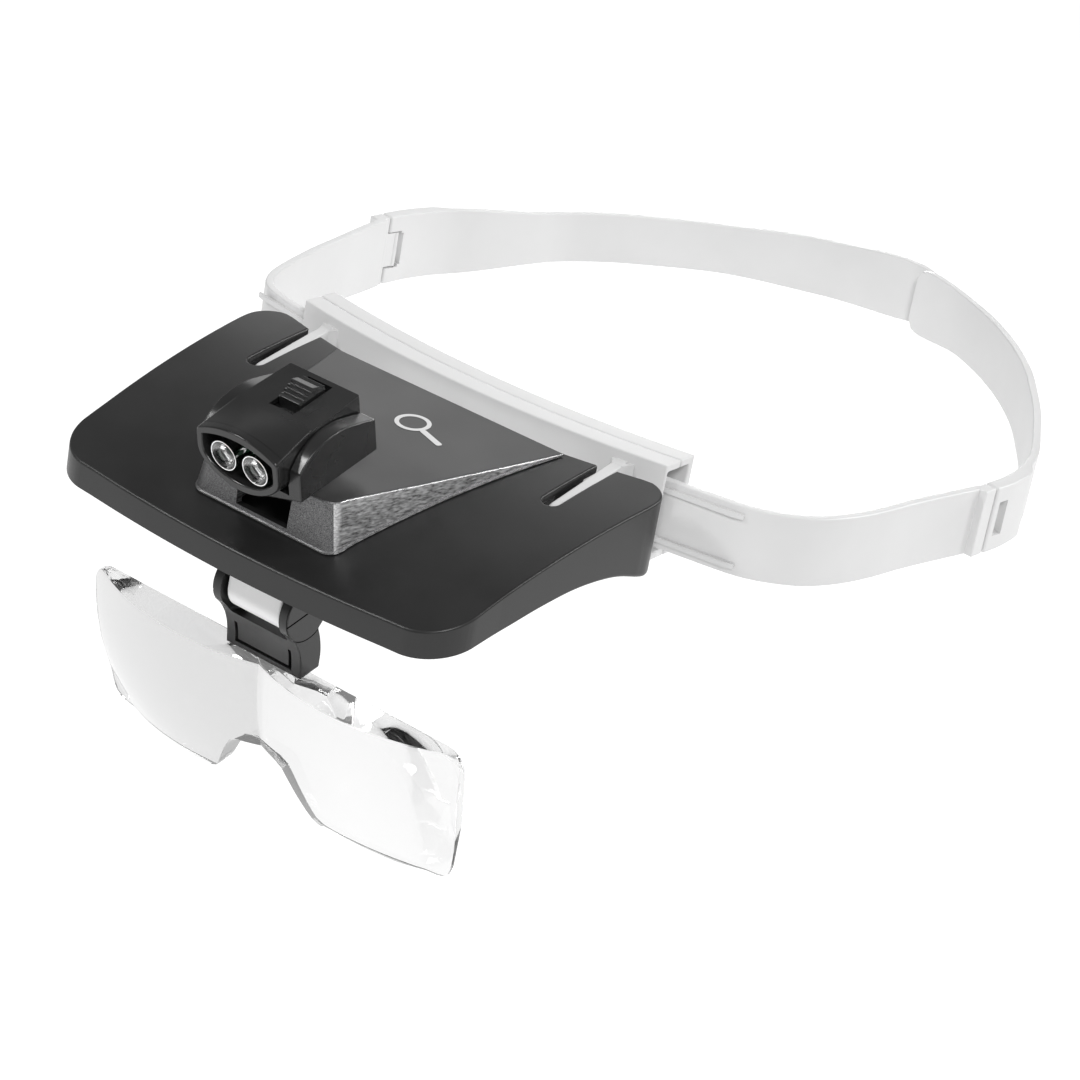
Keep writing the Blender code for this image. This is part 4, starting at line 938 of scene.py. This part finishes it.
def lens_bracket():
    """Two discs round the barrel, a waist, and the socket that holds the lens."""
    waist_front = curve_through([(-65.0, -39.7), (-62.6, -42.0), (-60.6, -45.0), (-59.3, -48.6),
                                 (-58.6, -53.0)], 5)
    waist_rear = curve_through([(-52.2, -51.4), (-52.3, -47.4), (-53.2, -43.6), (-54.5, -40.6)], 5)
    disc = arc((FOLD_Y, FOLD_Z), 7.1, -46, 217, 44)
    bracket = prism(waist_front + waist_rear + disc[1:], -11.6, 11.6, "X")
    bevelled(bracket, 0.35, 3, 40)
    gap = [(-75, -20), (-75, -42.9), (-50.0, -42.9), (-45, -20)]
    cut(bracket, bevelled(prism(gap, -9.0, 9.0, "X"), 1.0, 4))
    cut(bracket, box((-7.4, 7.4), (-56.4, -53.7), (-60.0, -45.6)))
    cut(bracket, box((-8.8, 8.8), (-62.0, -55.0), (-51.6, -50.7)))
    for side in (-1, 1):
        x0, x1 = sorted((side * 7.9, side * 8.8))
        cut(bracket, box((x0, x1), (-62.0, -55.0), (-51.6, -46.0)))
    cut(bracket, rod((FOLD_Y, FOLD_Z), HOLE_RADIUS, -10.5, 10.5, "X"))
    turn = Matrix.Translation((0, FOLD_Y, FOLD_Z)) @ Matrix.Rotation(math.radians(15), 4, "X")
    for side in (-1, 1):
        x0, x1 = sorted((side * 11.25, side * 12.5))
        cut(bracket, moved(box((x0, x1), (-9.0, 0.0), (-0.22, 0.22)), turn))
        groove = prism(circle((FOLD_Y, FOLD_Z), 7.25, 60), x0, x1, "X")
        inner = prism(circle((FOLD_Y, FOLD_Z), 6.95, 60), x0 - 1, x1 + 1, "X")
        cut(bracket, cut(groove, inner))
    finish(bracket, "lens_clip", MATERIALS["deck_black_plastic"], "lens_holder",
           ["lens_bracket"])


def lens_frame():
    """Local axes of the lens: x across, y down its rear face, z out of its front."""
    down = Vector((0, math.sin(LENS_TILT), -math.cos(LENS_TILT)))
    front = Vector((0, -math.cos(LENS_TILT), -math.sin(LENS_TILT)))
    rows = [((1, 0, 0)[i], down[i], front[i], LENS_TOP[i]) for i in range(3)]
    return Matrix(rows + [(0, 0, 0, 1)])


def lens_edges(x):
    """Top and bottom of the lens at x, measured down its rear face."""
    a = abs(x)
    top = 0.0
    if a > LENS_HALF - LENS_CORNER:
        rise = LENS_CORNER ** 2 - (a - LENS_HALF + LENS_CORNER) ** 2
        top = LENS_CORNER - math.sqrt(max(0.0, rise))
    bottom = between(a, [(0.0, 24.2), (6.0, 24.6), (8.4, 25.6), (10.0, 28.2), (14.2, 36.4), (15.4, 38.4),
                         (17.2, 39.4), (19.0, LENS_HEIGHT), (50.0, LENS_HEIGHT), (52.0, 39.0),
                         (53.4, 37.6), (54.4, 35.0), (56.6, 22.0), (LENS_HALF, 8.0)])
    return top, bottom


def lens_thickness(x, s):
    """Two domed halves that meet in a crease down the middle."""
    reach = (abs(x) - DOME_X) ** 2 + (s - DOME_S) ** 2
    return max(1.0, LENS_DEPTH - DOME_RADIUS + math.sqrt(DOME_RADIUS ** 2 - reach))


def lens():
    """The lens plate, closely spaced across where its lower edge turns, with its clip tab."""
    half = [0, 0.4, 1, 2, 3, 4.5, 6, 7.2, 8.4, 9.2, 10, 11.2, 12.5, 14.2, 14.8, 15.4, 16.2, 17.2, 18, 19]
    half += list(range(21, 49, 2)) + [50, 51, 52, 52.8, 53.4, 54, 54.4, 55, 55.6, 56.1, 56.6, 57.0,
                                      57.3, LENS_HALF]
    rows = 30
    sections = []
    for x in [-x for x in half[:0:-1]] + half:
        top, bottom = lens_edges(x)
        down = [top + (bottom - top) * i / rows for i in range(rows + 1)]
        front = [(x, s, lens_thickness(x, s)) for s in down]
        sections.append([(x, s, 0.0) for s in down[::-1]] + front)
    plate = moved(bevelled(loft(sections), 0.3, 2, 50), lens_frame())
    tab = [(-56.0, -46.2), (-54.1, -46.2), (-54.1, -51.6), (-54.6, -53.4), (-56.0, -53.6)]
    join(plate, prism(tab, -6.8, 6.8, "X"))
    finish(plate, "lens_plate", MATERIALS["lens_acrylic"], "lens_holder",
           ["lens"], 24.0)


# ---------------------------------------------------------------- studio and camera

def studio():
    """A pale glowing floor under soft round lights that all face the object."""
    floor = box((-6000, 6000), (-6000, 6000), (-330, -320))
    floor.name = "floor"
    floor.data.transform(Matrix.Scale(MM, 4))
    material, _, shader = new_material("floor_white", (0.3, 0.3, 0.3), 1.0)
    shader.inputs["Emission Color"].default_value = (1, 1, 1, 1)
    shader.inputs["Emission Strength"].default_value = 0.88
    shader.inputs["Specular IOR Level"].default_value = 0.0
    floor.data.materials.append(material)
    lights = {
        "key": ((0.9, -0.9, 1.2), 0.5, 13.0),
        "left": ((-0.9, -1.1, 1.1), 0.25, 9.0),
        "rim": ((0.62, 1.15, 0.75), 0.3, 6.0),
        "hood": ((0.95, 0.68, 1.0), 0.22, 6.0),
        "rear": ((-0.75, 1.1, 0.68), 0.8, 1.9),
        "low": ((-0.8, 1.5, 0.1), 0.3, 3.0),
    }
    for name, (place, size, power) in lights.items():
        data = bpy.data.lights.new(name, "AREA")
        data.shape = "DISK"
        data.size = size
        data.energy = power
        light = bpy.data.objects.new(name, data)
        light.location = place
        light.rotation_euler = (-Vector(place)).to_track_quat("-Z", "Y").to_euler()
        bpy.context.scene.collection.objects.link(light)
    world = bpy.data.worlds.new("studio")
    world.use_nodes = True
    background = world.node_tree.nodes["Background"]
    background.inputs["Color"].default_value = (1, 1, 1, 1)
    background.inputs["Strength"].default_value = 0.30
    scene = bpy.context.scene
    scene.world = world
    scene.view_settings.view_transform = "Standard"
    scene.cycles.max_bounces = 24
    scene.cycles.glossy_bounces = 24
    scene.cycles.transmission_bounces = 24


def camera():
    """A long lens from ahead, above and to the wearer's left, rolled to the right."""
    azimuth, elevation, roll = (math.radians(a) for a in (33.195, 24.728, 10.524))
    back = Vector((math.sin(azimuth) * math.cos(elevation),
                   -math.cos(azimuth) * math.cos(elevation), math.sin(elevation)))
    level = Vector((math.cos(azimuth), math.sin(azimuth), 0.0))
    upright = back.cross(level)
    right = math.cos(roll) * level + math.sin(roll) * upright
    up = -math.sin(roll) * level + math.cos(roll) * upright
    distance, aside, below, focal_length = 780.0, 20.234, -33.722, 108.87
    place = (aside * right + below * up + distance * back - FOREHEAD) * MM
    data = bpy.data.cameras.new("camera")
    data.lens = focal_length
    data.sensor_width = 36.0
    data.clip_start = 0.01
    eye = bpy.data.objects.new("camera", data)
    eye.matrix_world = Matrix([(right[i], up[i], back[i], place[i]) for i in range(3)] + [(0, 0, 0, 1)])
    bpy.context.scene.collection.objects.link(eye)
    bpy.context.scene.camera = eye


def dress_cad():
    """Gives every CAD node that stays its finished material."""
    slots = {part["node"]: part["material_slot"] for part in frame["record"]["subparts"]}
    for node, thing in frame["nodes"].items():
        thing.data.materials.clear()
        thing.data.materials.append(MATERIALS[slots[node]])


dress_cad()
bar_shells()
forehead_foam()
for hand in SIDES:
    front_strap(hand)
    rear_strap(hand)
visor_deck()
lamp_pedestal()
loupe_sign()
lamp_head()
lamp_lights()
lamp_cradle()
switch_knob()
lens_carriage()
lens_bracket()
lens()
studio()
camera()
